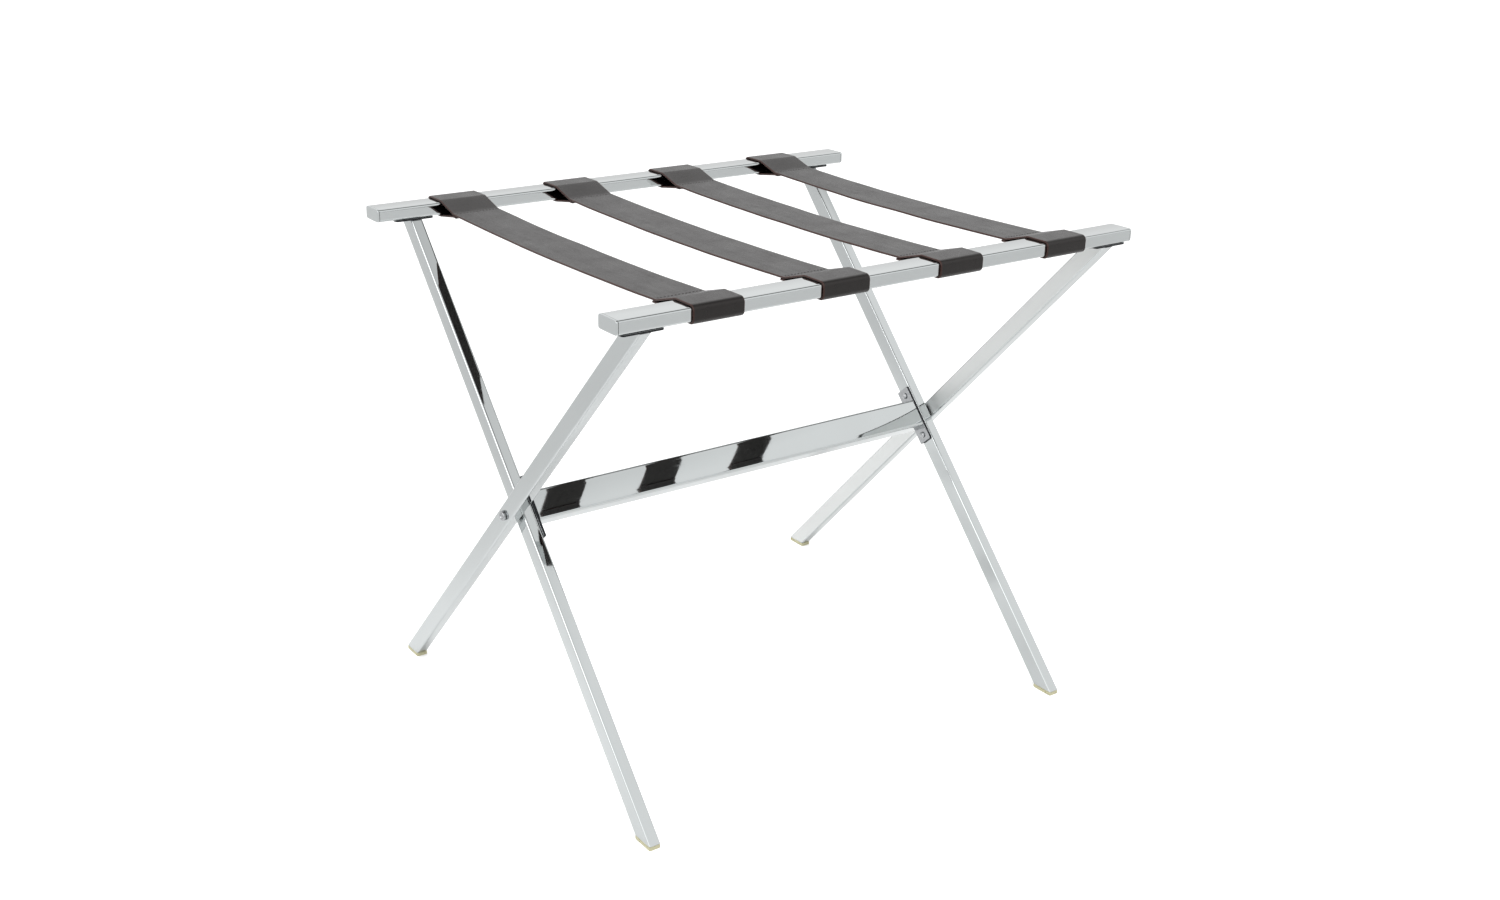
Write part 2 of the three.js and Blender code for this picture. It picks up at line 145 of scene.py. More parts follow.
class BeltSizes(bpy.types.PropertyGroup):
    """Sizes of the four belts"""
    thickness: length("Thickness", "Thickness of the folded leatherette", BELT_THICKNESS)
    edge: length("Edge radius", "Rounding of the belt's long edges", 0.9 * MM)
    slack: length("Clearance", "Gap between a belt and its rail", BELT_GAP)
    join: length("Join", "Distance from the middle to where a loop's layers meet", 186 * MM)
    join_drop: length("Join drop", "Top of a loop down to the belt's top at the join", 8.6 * MM)
    sag: length("Sag", "Middle of the span below its joins", 3 * MM)
    skew: length("Skew", "Front loop to the right of its rear loop", 3 * MM)
    tail: length("Tail", "Length of the sewn overlap", 5 * MM)
    crease: length("Crease radius", "Radius of the bend where a loop leaves the span", 16 * MM)
    wrinkle: length("Wrinkle height", "Height of the soft waves along the span", 2.4 * MM)
    stitch_pitch: length("Stitch pitch", "From one stitch to the next", 3.6 * MM, 1 * MM)
    stitch_length: length("Stitch length", "Length of the thread that shows", 2.6 * MM)
    thread: length("Thread radius", "Radius of the thread", 0.35 * MM)


class Finishes(bpy.types.PropertyGroup):
    """Colours of the rack's materials"""
    chrome: colour("Chrome", "Chrome plate on tube", (0.532, 0.556, 0.558))
    # Satin faces are rougher than the chrome and get a lighter colour; the lighter colour is painted
    # light for the brighter reflection these faces show
    satin: colour("Satin", "Satin inner faces of the outer legs", (0.72, 0.735, 0.73))
    plate: colour("Plate", "Duller plating on the stamped plates and bolts", (0.38, 0.39, 0.40))
    # The plain edge colour is near-black painted shade on the plates' stamped edges, standing in for the
    # dark line of shade along them
    steel: colour("Plain edge", "Dark stamped edges of the plates", (0.007, 0.008, 0.009))
    zinc: colour("Zinc", "Zinc-plated screws and nuts", (0.46, 0.47, 0.48))
    leatherette: colour("Leatherette", "Grain side of the belts", (0.0055, 0.0044, 0.0045))
    belt_edge: colour("Belt edge", "Red-brown ground along the belts' edges", (0.028, 0.010, 0.008))
    thread: colour("Thread", "Sewing thread", (0.02, 0.017, 0.018))
    foot: colour("Foot", "Clear yellowish plastic", (0.74, 0.72, 0.50))
    nylon: colour("Nylon", "Black nylon washers", (0.012, 0.013, 0.015))


class StudioSettings(bpy.types.PropertyGroup):
    """Camera, lights and floor"""
    lens: bpy.props.FloatProperty(
        name="Lens", description="Focal length on a 36 mm sensor", default=39.67, unit="CAMERA")
    place: bpy.props.FloatVectorProperty(
        name="Camera", description="Camera position", default=(-0.9838, -1.3173, 0.9018),
        subtype="XYZ", unit="LENGTH")
    azimuth: bpy.props.FloatProperty(
        name="Azimuth", description="Camera azimuth, 0 looking along +Y",
        default=math.radians(-34.956), subtype="ANGLE")
    elevation: bpy.props.FloatProperty(
        name="Elevation", description="Camera height above the horizon",
        default=math.radians(19.569), subtype="ANGLE")
    roll: bpy.props.FloatProperty(
        name="Roll", description="Camera roll", default=math.radians(0.973), subtype="ANGLE")
    shift: bpy.props.FloatVectorProperty(
        name="Shift", description="Shift of the frame, as a share of its width",
        default=(0.04, -0.0333), size=2)
    floor: colour("Floor", "Pale studio floor", (0.84, 0.84, 0.84))


SETTINGS = (("rack_sizes", FrameSizes), ("rack_belts", BeltSizes),
            ("rack_finishes", Finishes), ("rack_studio", StudioSettings))


# ---- node trees ----

class Tree:
    """A node tree being built, with named inputs and one line for each node."""

    def __init__(self, tree):
        self.tree = tree

    def node(self, kind, values=None, **settings):
        made = self.tree.nodes.new(kind)
        for key, value in settings.items():
            setattr(made, key, value)
        for key, value in (values or {}).items():
            socket = made.inputs[key]
            if isinstance(value, bpy.types.NodeSocket):
                self.tree.links.new(value, socket)
            else:
                socket.default_value = value
        return made

    def math(self, operation, first, second=0.0, clamp=False):
        made = self.node("ShaderNodeMath", {0: first, 1: second}, operation=operation)
        made.use_clamp = clamp
        return made.outputs[0]

    def link(self, output, socket):
        self.tree.links.new(output, socket)


def group_tree(name, kind, inputs, outputs):
    """A node group with named sockets, as (its builder, its inputs, its output node)."""
    tree = bpy.data.node_groups.new(name, kind)
    for direction, sockets in (("INPUT", inputs), ("OUTPUT", outputs)):
        for socket_name, socket_type, *default in sockets:
            socket = tree.interface.new_socket(
                name=socket_name, in_out=direction, socket_type=f"NodeSocket{socket_type}")
            if default:
                socket.default_value = default[0]
    build = Tree(tree)
    given = build.node("NodeGroupInput").outputs
    return build, given, build.node("NodeGroupOutput")


# ---- shader groups ----

def smudge_group():
    """Roughness that drifts between clean plate and handled plate."""
    build, given, out = group_tree("smudged_gloss", "ShaderNodeTree", [
        ("Vector", "Vector"), ("Size", "Float", 0.05), ("Clean", "Float", 0.04),
        ("Smudged", "Float", 0.12)], [("Roughness", "Float")])
    scale = build.math("DIVIDE", 1.0, given["Size"])
    cloud = build.node("ShaderNodeTexNoise", {
        "Vector": given["Vector"], "Scale": scale, "Detail": 4.0, "Roughness": 0.6})
    fine = build.node("ShaderNodeTexNoise", {
        "Vector": given["Vector"], "Scale": build.math("MULTIPLY", scale, 9.0), "Detail": 2.0})
    mixed = build.math("MULTIPLY_ADD", cloud.outputs[0], 1.6, clamp=True)
    mixed.node.inputs[2].default_value = -0.35
    speckled = build.math("MULTIPLY", mixed, fine.outputs[0])
    level = build.node("ShaderNodeMapRange", {
        "Value": speckled, 1: 0.0, 2: 0.45, 3: given["Clean"], 4: given["Smudged"]})
    build.link(level.outputs[0], out.inputs["Roughness"])
    return build.tree


def hairline_group():
    """Fine straight polishing marks: long thin streaks along one direction."""
    build, given, out = group_tree("hairlines", "ShaderNodeTree", [
        ("Vector", "Vector"), ("Spacing", "Float", 0.0012), ("Amount", "Float", 0.5)],
        [("Mask", "Float")])
    scale = build.math("DIVIDE", 1.0, given["Spacing"])
    streaks = build.node("ShaderNodeTexNoise", {
        "Vector": given["Vector"], "Scale": scale, "Detail": 1.0, "Roughness": 0.4})
    thin = build.node("ShaderNodeMapRange", {"Value": streaks.outputs[0], 1: 0.62, 2: 0.78})
    patches = build.node("ShaderNodeTexNoise", {
        "Vector": given["Vector"], "Scale": build.math("MULTIPLY", scale, 0.05)})
    strength = build.math("MULTIPLY", thin.outputs[0], patches.outputs[0])
    build.link(build.math("MULTIPLY", strength, given["Amount"]), out.inputs["Mask"])
    return build.tree


def plating_group():
    """Height of the slow waves that drawn and plated tube has."""
    build, given, out = group_tree("plating_waves", "ShaderNodeTree", [
        ("Vector", "Vector"), ("Size", "Float", 0.03)], [("Height", "Float")])
    scale = build.math("DIVIDE", 1.0, given["Size"])
    slow = build.node("ShaderNodeTexNoise", {
        "Vector": given["Vector"], "Scale": scale, "Detail": 1.0, "Roughness": 0.3})
    fine = build.node("ShaderNodeTexNoise", {
        "Vector": given["Vector"], "Scale": build.math("MULTIPLY", scale, 14.0), "Detail": 0.0})
    total = build.math("MULTIPLY_ADD", fine.outputs[0], 0.006)
    build.link(slow.outputs[0], total.node.inputs[2])
    build.link(total, out.inputs["Height"])
    return build.tree


def grain_group():
    """Pebbled grain: cells with soft creases between them."""
    build, given, out = group_tree("pebble_grain", "ShaderNodeTree", [
        ("Vector", "Vector"), ("Size", "Float", 0.0011)], [("Height", "Float"), ("Crease", "Float")])
    scale = build.math("DIVIDE", 1.0, given["Size"])
    wander = build.node("ShaderNodeTexNoise", {
        "Vector": given["Vector"], "Scale": build.math("MULTIPLY", scale, 0.5), "Detail": 2.0})
    nudge = build.node("ShaderNodeVectorMath", {0: wander.outputs["Color"]}, operation="SCALE")
    build.link(build.math("MULTIPLY", given["Size"], 0.8), nudge.inputs["Scale"])
    moved = build.node("ShaderNodeVectorMath", {0: given["Vector"], 1: nudge.outputs[0]})
    cells = build.node("ShaderNodeTexVoronoi", {
        "Vector": moved.outputs[0], "Scale": scale}, feature="DISTANCE_TO_EDGE")
    crease = build.node("ShaderNodeMapRange", {
        "Value": cells.outputs["Distance"], 1: 0.0, 2: 0.22}, interpolation_type="SMOOTHSTEP")
    pores = build.node("ShaderNodeTexNoise", {
        "Vector": given["Vector"], "Scale": build.math("MULTIPLY", scale, 3.0), "Detail": 2.0})
    height = build.math("MULTIPLY_ADD", pores.outputs[0], 0.35)
    build.link(crease.outputs[0], height.node.inputs[2])
    build.link(height, out.inputs["Height"])
    build.link(crease.outputs[0], out.inputs["Crease"])
    return build.tree


# ---- materials ----

GROUP_MAKERS = {"smudged_gloss": smudge_group, "hairlines": hairline_group,
                "plating_waves": plating_group, "pebble_grain": grain_group}
MATERIAL_MAKERS = {}


def material_recipe(function):
    """Keeps a function that fills in a material of the function's own name."""
    MATERIAL_MAKERS[function.__name__] = function
    return function


def material(name):
    """The named material, made the first time that it is asked for."""
    full_name = f"rack_{name}"
    if full_name not in bpy.data.materials:
        made = bpy.data.materials.new(full_name)
        made.use_nodes = True
        build = Tree(made.node_tree)
        shader = made.node_tree.nodes["Principled BSDF"]
        MATERIAL_MAKERS[name](build, shader, bpy.context.scene.rack_finishes)
    return bpy.data.materials[full_name]


def group(build, name, values):
    """Adds the named shader group, made the first time that it is asked for."""
    if name not in bpy.data.node_groups:
        GROUP_MAKERS[name]()
    made = build.node("ShaderNodeGroup", node_tree=bpy.data.node_groups[name])
    for key, value in values.items():
        if isinstance(value, bpy.types.NodeSocket):
            build.link(value, made.inputs[key])
        else:
            made.inputs[key].default_value = value
    return made


def object_vector(build, stretch=(1, 1, 1)):
    place = build.node("ShaderNodeTexCoord").outputs["Object"]
    return build.node("ShaderNodeMapping", {"Vector": place, "Scale": stretch}).outputs[0]


def belt_vector(build):
    return build.node("ShaderNodeUVMap", uv_map="UVMap").outputs[0]


def opaque(colour_value):
    return (*colour_value, 1.0)


def tint(build, fac, low, high):
    """Colour that runs from low to high as fac goes from 0 to 1."""
    made = build.node("ShaderNodeMix", data_type="RGBA")
    build.link(fac, made.inputs["Factor"])
    made.inputs[6].default_value = opaque(low)
    made.inputs[7].default_value = opaque(high)
    return made.outputs[2]


def bump(build, shader, height, strength, distance):
    made = build.node("ShaderNodeBump", {
        "Height": height, "Strength": strength, "Distance": distance})
    build.link(made.outputs[0], shader.inputs["Normal"])


def plated(build, shader, base, stretch, wave, waviness, clean, smudged):
    """Plated steel: slow waves, handling marks and hairlines along the tube."""
    place = object_vector(build)
    gloss = group(build, "smudged_gloss", {
        "Vector": place, "Size": 0.045, "Clean": clean, "Smudged": smudged})
    marks = group(build, "hairlines", {
        "Vector": object_vector(build, stretch), "Spacing": 0.0014, "Amount": 0.10})
    rough = build.math("ADD", gloss.outputs[0], marks.outputs[0])
    build.link(rough, shader.inputs["Roughness"])
    waves = group(build, "plating_waves", {"Vector": place, "Size": wave})
    bump(build, shader, waves.outputs[0], waviness, 1 * MM)
    haze = build.node("ShaderNodeTexNoise", {"Vector": place, "Scale": 11.0, "Detail": 3.0})
    dimmed = [channel * 0.93 for channel in base]
    build.link(tint(build, haze.outputs[0], dimmed, base), shader.inputs["Base Color"])
    shader.inputs["Metallic"].default_value = 1.0


@material_recipe
def rail_chrome(build, shader, colours):
    plated(build, shader, colours.chrome, stretch=(0.03, 1, 1), wave=0.06, waviness=0.12,
           clean=0.015, smudged=0.05)


@material_recipe
def leg_chrome(build, shader, colours):
    plated(build, shader, colours.chrome, stretch=(1, 0.05, 0.05), wave=0.06, waviness=0.07,
           clean=0.015, smudged=0.05)


@material_recipe
def satin_chrome(build, shader, colours):
    # Rougher finish, with a lighter plate colour that is painted light
    plated(build, shader, colours.satin, stretch=(1, 0.05, 0.05), wave=0.05, waviness=0.05,
           clean=0.42, smudged=0.48)


@material_recipe
def plate_chrome(build, shader, colours):
    plated(build, shader, colours.plate, stretch=(1, 1, 0.1), wave=0.02, waviness=0.1,
           clean=0.10, smudged=0.22)


@material_recipe
def bolt_chrome(build, shader, colours):
    plated(build, shader, colours.plate, stretch=(0.2, 1, 1), wave=0.008, waviness=0.08,
           clean=0.10, smudged=0.22)


@material_recipe
def screw_zinc(build, shader, colours):
    plated(build, shader, colours.zinc, stretch=(1, 1, 1), wave=0.006, waviness=0.10,
           clean=0.22, smudged=0.38)


@material_recipe
def dark_edge(build, shader, colours):
    # Painted shade: near-black colour on the plates' edges, with fine grit in its colour, roughness and
    # bump
    place = object_vector(build, (1, 1, 4))
    grit = build.node("ShaderNodeTexNoise", {"Vector": place, "Scale": 900.0, "Detail": 3.0})
    build.link(tint(build, grit.outputs[0], colours.steel, [2.2 * c for c in colours.steel]),
               shader.inputs["Base Color"])
    rough = build.node("ShaderNodeMapRange", {"Value": grit.outputs[0], 3: 0.35, 4: 0.6})
    build.link(rough.outputs[0], shader.inputs["Roughness"])
    bump(build, shader, grit.outputs[0], 0.3, 0.1 * MM)
    shader.inputs["Specular IOR Level"].default_value = 0.15


@material_recipe
def black_nylon(build, shader, colours):
    place = object_vector(build)
    grit = build.node("ShaderNodeTexNoise", {"Vector": place, "Scale": 1500.0, "Detail": 2.0})
    build.link(tint(build, grit.outputs[0], colours.nylon, [1.8 * c for c in colours.nylon]),
               shader.inputs["Base Color"])
    rough = build.node("ShaderNodeMapRange", {"Value": grit.outputs[0], 3: 0.4, 4: 0.55})
    build.link(rough.outputs[0], shader.inputs["Roughness"])
    bump(build, shader, grit.outputs[0], 0.2, 0.05 * MM)


@material_recipe
def clear_plastic(build, shader, colours):
    place = object_vector(build)
    clouds = build.node("ShaderNodeTexNoise", {"Vector": place, "Scale": 160.0, "Detail": 3.0})
    aged = (colours.foot[0] * 0.86, colours.foot[1] * 0.82, colours.foot[2] * 0.68)
    build.link(tint(build, clouds.outputs[0], aged, colours.foot), shader.inputs["Base Color"])
    rough = build.node("ShaderNodeMapRange", {"Value": clouds.outputs[0], 3: 0.18, 4: 0.42})
    build.link(rough.outputs[0], shader.inputs["Roughness"])
    scuffs = build.node("ShaderNodeTexNoise", {"Vector": place, "Scale": 700.0, "Detail": 2.0})
    bump(build, shader, scuffs.outputs[0], 0.25, 0.1 * MM)
    shader.inputs["IOR"].default_value = 1.46
    shader.inputs["Transmission Weight"].default_value = 0.35


@material_recipe
def leatherette(build, shader, colours):
    place = belt_vector(build)
    grain = group(build, "pebble_grain", {"Vector": place, "Size": 0.0012})
    rubbed = group(build, "smudged_gloss", {
        "Vector": place, "Size": 0.03, "Clean": 0.26, "Smudged": 0.38})
    edge = build.node("ShaderNodeAttribute", attribute_name="belt_edge").outputs["Fac"]
    streaks = build.node("ShaderNodeTexNoise", {
        "Vector": build.node("ShaderNodeMapping", {"Vector": place, "Scale": (1, 0.06, 1)}).outputs[0],
        "Scale": 160.0, "Detail": 3.0})
    # Streak noise along the belt also darkens and lightens the colour: painted shade and painted sheen
    # standing in for the soft reflection bands on the satin top. In roughness the streaks stay plain
    # roughness bands.
    deep = [channel * 0.7 for channel in colours.leatherette]
    streak_painted_sheen = [channel * 1.5 for channel in colours.leatherette]
    ground = build.node("ShaderNodeMix", {"Factor": edge}, data_type="RGBA")
    build.link(tint(build, streaks.outputs[0], deep, streak_painted_sheen), ground.inputs[6])
    ground.inputs[7].default_value = opaque(colours.belt_edge)
    build.link(ground.outputs[2], shader.inputs["Base Color"])
    creased = build.math("MULTIPLY_ADD", grain.outputs["Crease"], -0.08)
    build.link(rubbed.outputs[0], creased.node.inputs[2])
    banded = build.math("MULTIPLY_ADD", streaks.outputs[0], 0.12)
    build.link(creased, banded.node.inputs[2])
    build.link(banded, shader.inputs["Roughness"])
    bump(build, shader, grain.outputs["Height"], 0.16, 0.12 * MM)
    shader.inputs["IOR"].default_value = 1.40
    shader.inputs["Specular Tint"].default_value = (1.0, 0.97, 0.93, 1.0)


@material_recipe
def sewing_thread(build, shader, colours):
    place = object_vector(build)
    twist = build.node("ShaderNodeTexWave", {
        "Vector": place, "Scale": 900.0, "Distortion": 0.6}, bands_direction="DIAGONAL")
    build.link(tint(build, twist.outputs["Fac"], colours.thread, [2.6 * c for c in colours.thread]),
               shader.inputs["Base Color"])
    rough = build.node("ShaderNodeMapRange", {"Value": twist.outputs["Fac"], 3: 0.5, 4: 0.7})
    build.link(rough.outputs[0], shader.inputs["Roughness"])
    bump(build, shader, twist.outputs["Fac"], 0.4, 0.1 * MM)


# ---- meshes ----

def arc(x, y, radius, start, steps):
    """Quarter arc about (x, y) from start degrees, with a point beside each end for flat shading."""
    turns = [math.radians(start + 90 * i / steps) for i in range(steps + 1)]
    points = [Vector((x + radius * math.cos(a), y + radius * math.sin(a))) for a in turns]
    first = Vector((math.sin(turns[0]), -math.cos(turns[0]))) * SUPPORT
    last = Vector((-math.sin(turns[-1]), math.cos(turns[-1]))) * SUPPORT
    return [points[0] + first, *points, points[-1] + last]


def bowed_side(start, end, bow):
    """Points between two corners, pushed out into an arc of the bow radius. No bow is no points."""
    if not bow:
        return []
    run = end - start
    out = Vector((run.y, -run.x)).normalized()
    rise = run.length_squared / (8 * bow)
    shares = [i / SIDE_STEPS for i in range(1, SIDE_STEPS)]
    return [start.lerp(end, k) + out * rise * (1 - (2 * k - 1) ** 2) for k in shares]


def box_outline(width, height, radius, bow=0.0, steps=6):
    """Rounded rectangle as a function of how far it is drawn in from its edge."""
    def at(inset):
        corner = max(radius - inset, 0.1 * MM)
        x, y = width / 2 - inset - corner, height / 2 - inset - corner
        places = ((x, y, 0), (-x, y, 90), (-x, -y, 180), (x, -y, 270))
        arcs = [arc(px, py, corner, start, steps) for px, py, start in places]
        return [p for here, after in zip(arcs, arcs[1:] + arcs[:1])
                for p in here + bowed_side(here[-1], after[0], bow)]
    return at


def round_outline(radius, steps=48):
    """Circle as a function of how far it is drawn in from its edge."""
    def at(inset):
        turns = [2 * math.pi * i / steps for i in range(steps)]
        return [Vector((math.cos(a), math.sin(a))) * (radius - inset) for a in turns]
    return at


def hexagon_outline(flats, steps=8):
    """Hexagon with that distance across its flats, with steps points to a side."""
    def at(inset):
        corners = [Vector((math.cos(a), math.sin(a))) * (flats / 2 - inset) / math.cos(math.pi / 6)
                   for a in (math.pi * i / 3 for i in range(7))]
        return [corners[i].lerp(corners[i + 1], k / steps) for i in range(6) for k in range(steps)]
    return at


def rounding(bevel, steps=3):
    """(inset, depth) pairs over a rounded edge, from its flat end face to its side."""
    turns = [math.pi / 2 * i / steps for i in range(steps + 1)]
    curve = [(bevel * (1 - math.sin(a)), bevel * (1 - math.cos(a))) for a in turns]
    return [(bevel + SUPPORT, 0.0), *curve, (0.0, bevel + SUPPORT)]


def solid_profile(depth, bevel):
    ends = rounding(bevel)
    return ends + [(inset, depth - drop) for inset, drop in reversed(ends)]


def tube_profile(depth, wall, bevel):
    outside = solid_profile(depth, bevel)
    return outside + [(wall - inset, along) for inset, along in reversed(outside)]


def add_body(name, rings, hollow):
    """Closed mesh through rings of points. A hollow one joins its last ring to its first."""
    count = len(rings[0])
    faces = []
    for k in range(len(rings) if hollow else len(rings) - 1):
        here, there = k * count, (k + 1) % len(rings) * count
        for i in range(count):
            j = (i + 1) % count
            faces.append((here + i, here + j, there + j, there + i))
    if not hollow:
        faces.append(tuple(range(count)))
        faces.append(tuple((len(rings) - 1) * count + i for i in range(count)))
    mesh = bpy.data.meshes.new(name)
    mesh.from_pydata([point for ring in rings for point in ring], [], faces)
    piece = bpy.data.objects.new(name, mesh)
    bpy.context.scene.collection.objects.link(piece)
    return piece


def outward(mesh):
    """Welds doubled points and turns every face outwards."""
    shape = bmesh.new()
    shape.from_mesh(mesh)
    bmesh.ops.remove_doubles(shape, verts=shape.verts, dist=1e-7)
    bmesh.ops.recalc_face_normals(shape, faces=shape.faces)
    shape.to_mesh(mesh)
    shape.free()


def smooth(mesh, angle=35):
    mesh.shade_smooth()
    mesh.set_sharp_from_angle(angle=math.radians(angle))


def sweep(name, outline, profile, place, hollow=False):
    """Body from an outline taken along a profile of (inset, along) pairs, put in place."""
    rings = [[place(p.x, p.y, along) for p in outline(inset)] for inset, along in profile]
    piece = add_body(name, rings, hollow)
    outward(piece.data)
    return piece


def settled(piece):
    """Puts the result of the piece's modifiers in its mesh and takes the modifiers off."""
    graph = bpy.context.evaluated_depsgraph_get()
    mesh = bpy.data.meshes.new_from_object(
        piece.evaluated_get(graph), preserve_all_data_layers=True, depsgraph=graph)
    piece.modifiers.clear()
    old, piece.data = piece.data, mesh
    mesh.name = piece.name
    if isinstance(old, bpy.types.Mesh):
        bpy.data.meshes.remove(old)
    return piece


def drill(piece, bores):
    """Cuts round holes, each a (middle, axis, radius, length)."""
    rods = []
    for i, (centre, axis, radius, reach) in enumerate(bores):
        turn = Vector(axis).to_track_quat("Z", "Y")
        rods.append(sweep(f"rod_{i}", round_outline(radius, 32), [(0, -reach / 2), (0, reach / 2)],
                          lambda x, y, z, c=Vector(centre), q=turn: c + q @ Vector((x, y, z))))
    for rod in rods:
        cut = piece.modifiers.new("cut", "BOOLEAN")
        cut.operation, cut.solver, cut.object = "DIFFERENCE", "EXACT", rod
    settled(piece)
    outward(piece.data)
    for rod in rods:
        bpy.data.meshes.remove(rod.data)


def finish(piece, material_name, body, nodes, angle=35):
    """Shades a piece, gives it its material and body, and lets it stand for its CAD nodes."""
    smooth(piece.data, angle)
    piece.data.materials.clear()
    piece.data.materials.append(material(material_name))
    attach(piece, body)
    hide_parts(*nodes)


def paint_shade_on_plate_edges(piece, normal):
    """Paints the stamped edges of a plate, whose face points along normal, near-black: painted shade for
    the dark line along them.
    """
    piece.data.materials.append(material("dark_edge"))
    face = Vector(normal).normalized()
    for polygon in piece.data.polygons:
        polygon.material_index = int(abs(polygon.normal.dot(face)) < 0.3)


def dull_face_painted_light(piece, normal):
    """Gives the face of a tube that points along normal the less polished finish, with a lighter plate
    colour that is painted light.
    """
    piece.data.materials.append(material("satin_chrome"))
    for polygon in piece.data.polygons:
        polygon.material_index = int(polygon.normal.dot(Vector(normal)) > 0.95)


def leaning(x_middle, lean):
    """Place along a leg: (x, y across, height) to a point. lean is +1 where the top goes to +Y."""
    def put(x, y, along):
        z = LEG_LOW.z + along
        return Vector((x_middle + x, y / math.cos(LEG_LEAN) + lean * LEG_RUN * (z - PIVOT_Z), z))
    return put


# ---- geometry node trees ----

def geometry_inputs(tree):
    return {item.name: item.identifier for item in tree.interface.items_tree
            if item.in_out == "INPUT"}


def run_tree(piece, tree, values):
    """Runs a tree on the piece and keeps the result as its plain mesh."""
    modifier = piece.modifiers.new(tree.name, "NODES")
    modifier.node_group = tree
    identifiers = geometry_inputs(tree)
    for key, value in values.items():
        modifier[identifiers[key]] = value
    return settled(piece)


def loose_mesh(name, points, edges=(), **attributes):
    """Object of bare points and edges, with attributes for a tree to read."""
    mesh = bpy.data.meshes.new(name)
    mesh.from_pydata([tuple(p) for p in points], list(edges), [])
    for key, values in attributes.items():
        vector = hasattr(values[0], "__len__")
        layer = mesh.attributes.new(key, "FLOAT_VECTOR" if vector else "FLOAT", "POINT")
        flat = [c for value in values for c in value] if vector else values
        layer.data.foreach_set("vector" if vector else "value", flat)
    piece = bpy.data.objects.new(name, mesh)
    bpy.context.scene.collection.objects.link(piece)
    return piece


def end_tree(build, geometry, given, out):
    """Ends a geometry tree: real meshes, with the given material."""
    real = build.node("GeometryNodeRealizeInstances", {"Geometry": geometry})
    painted = build.node("GeometryNodeSetMaterial", {
        "Geometry": real.outputs[0], "Material": given["Material"]})
    build.link(painted.outputs[0], out.inputs["Geometry"])
    return build.tree


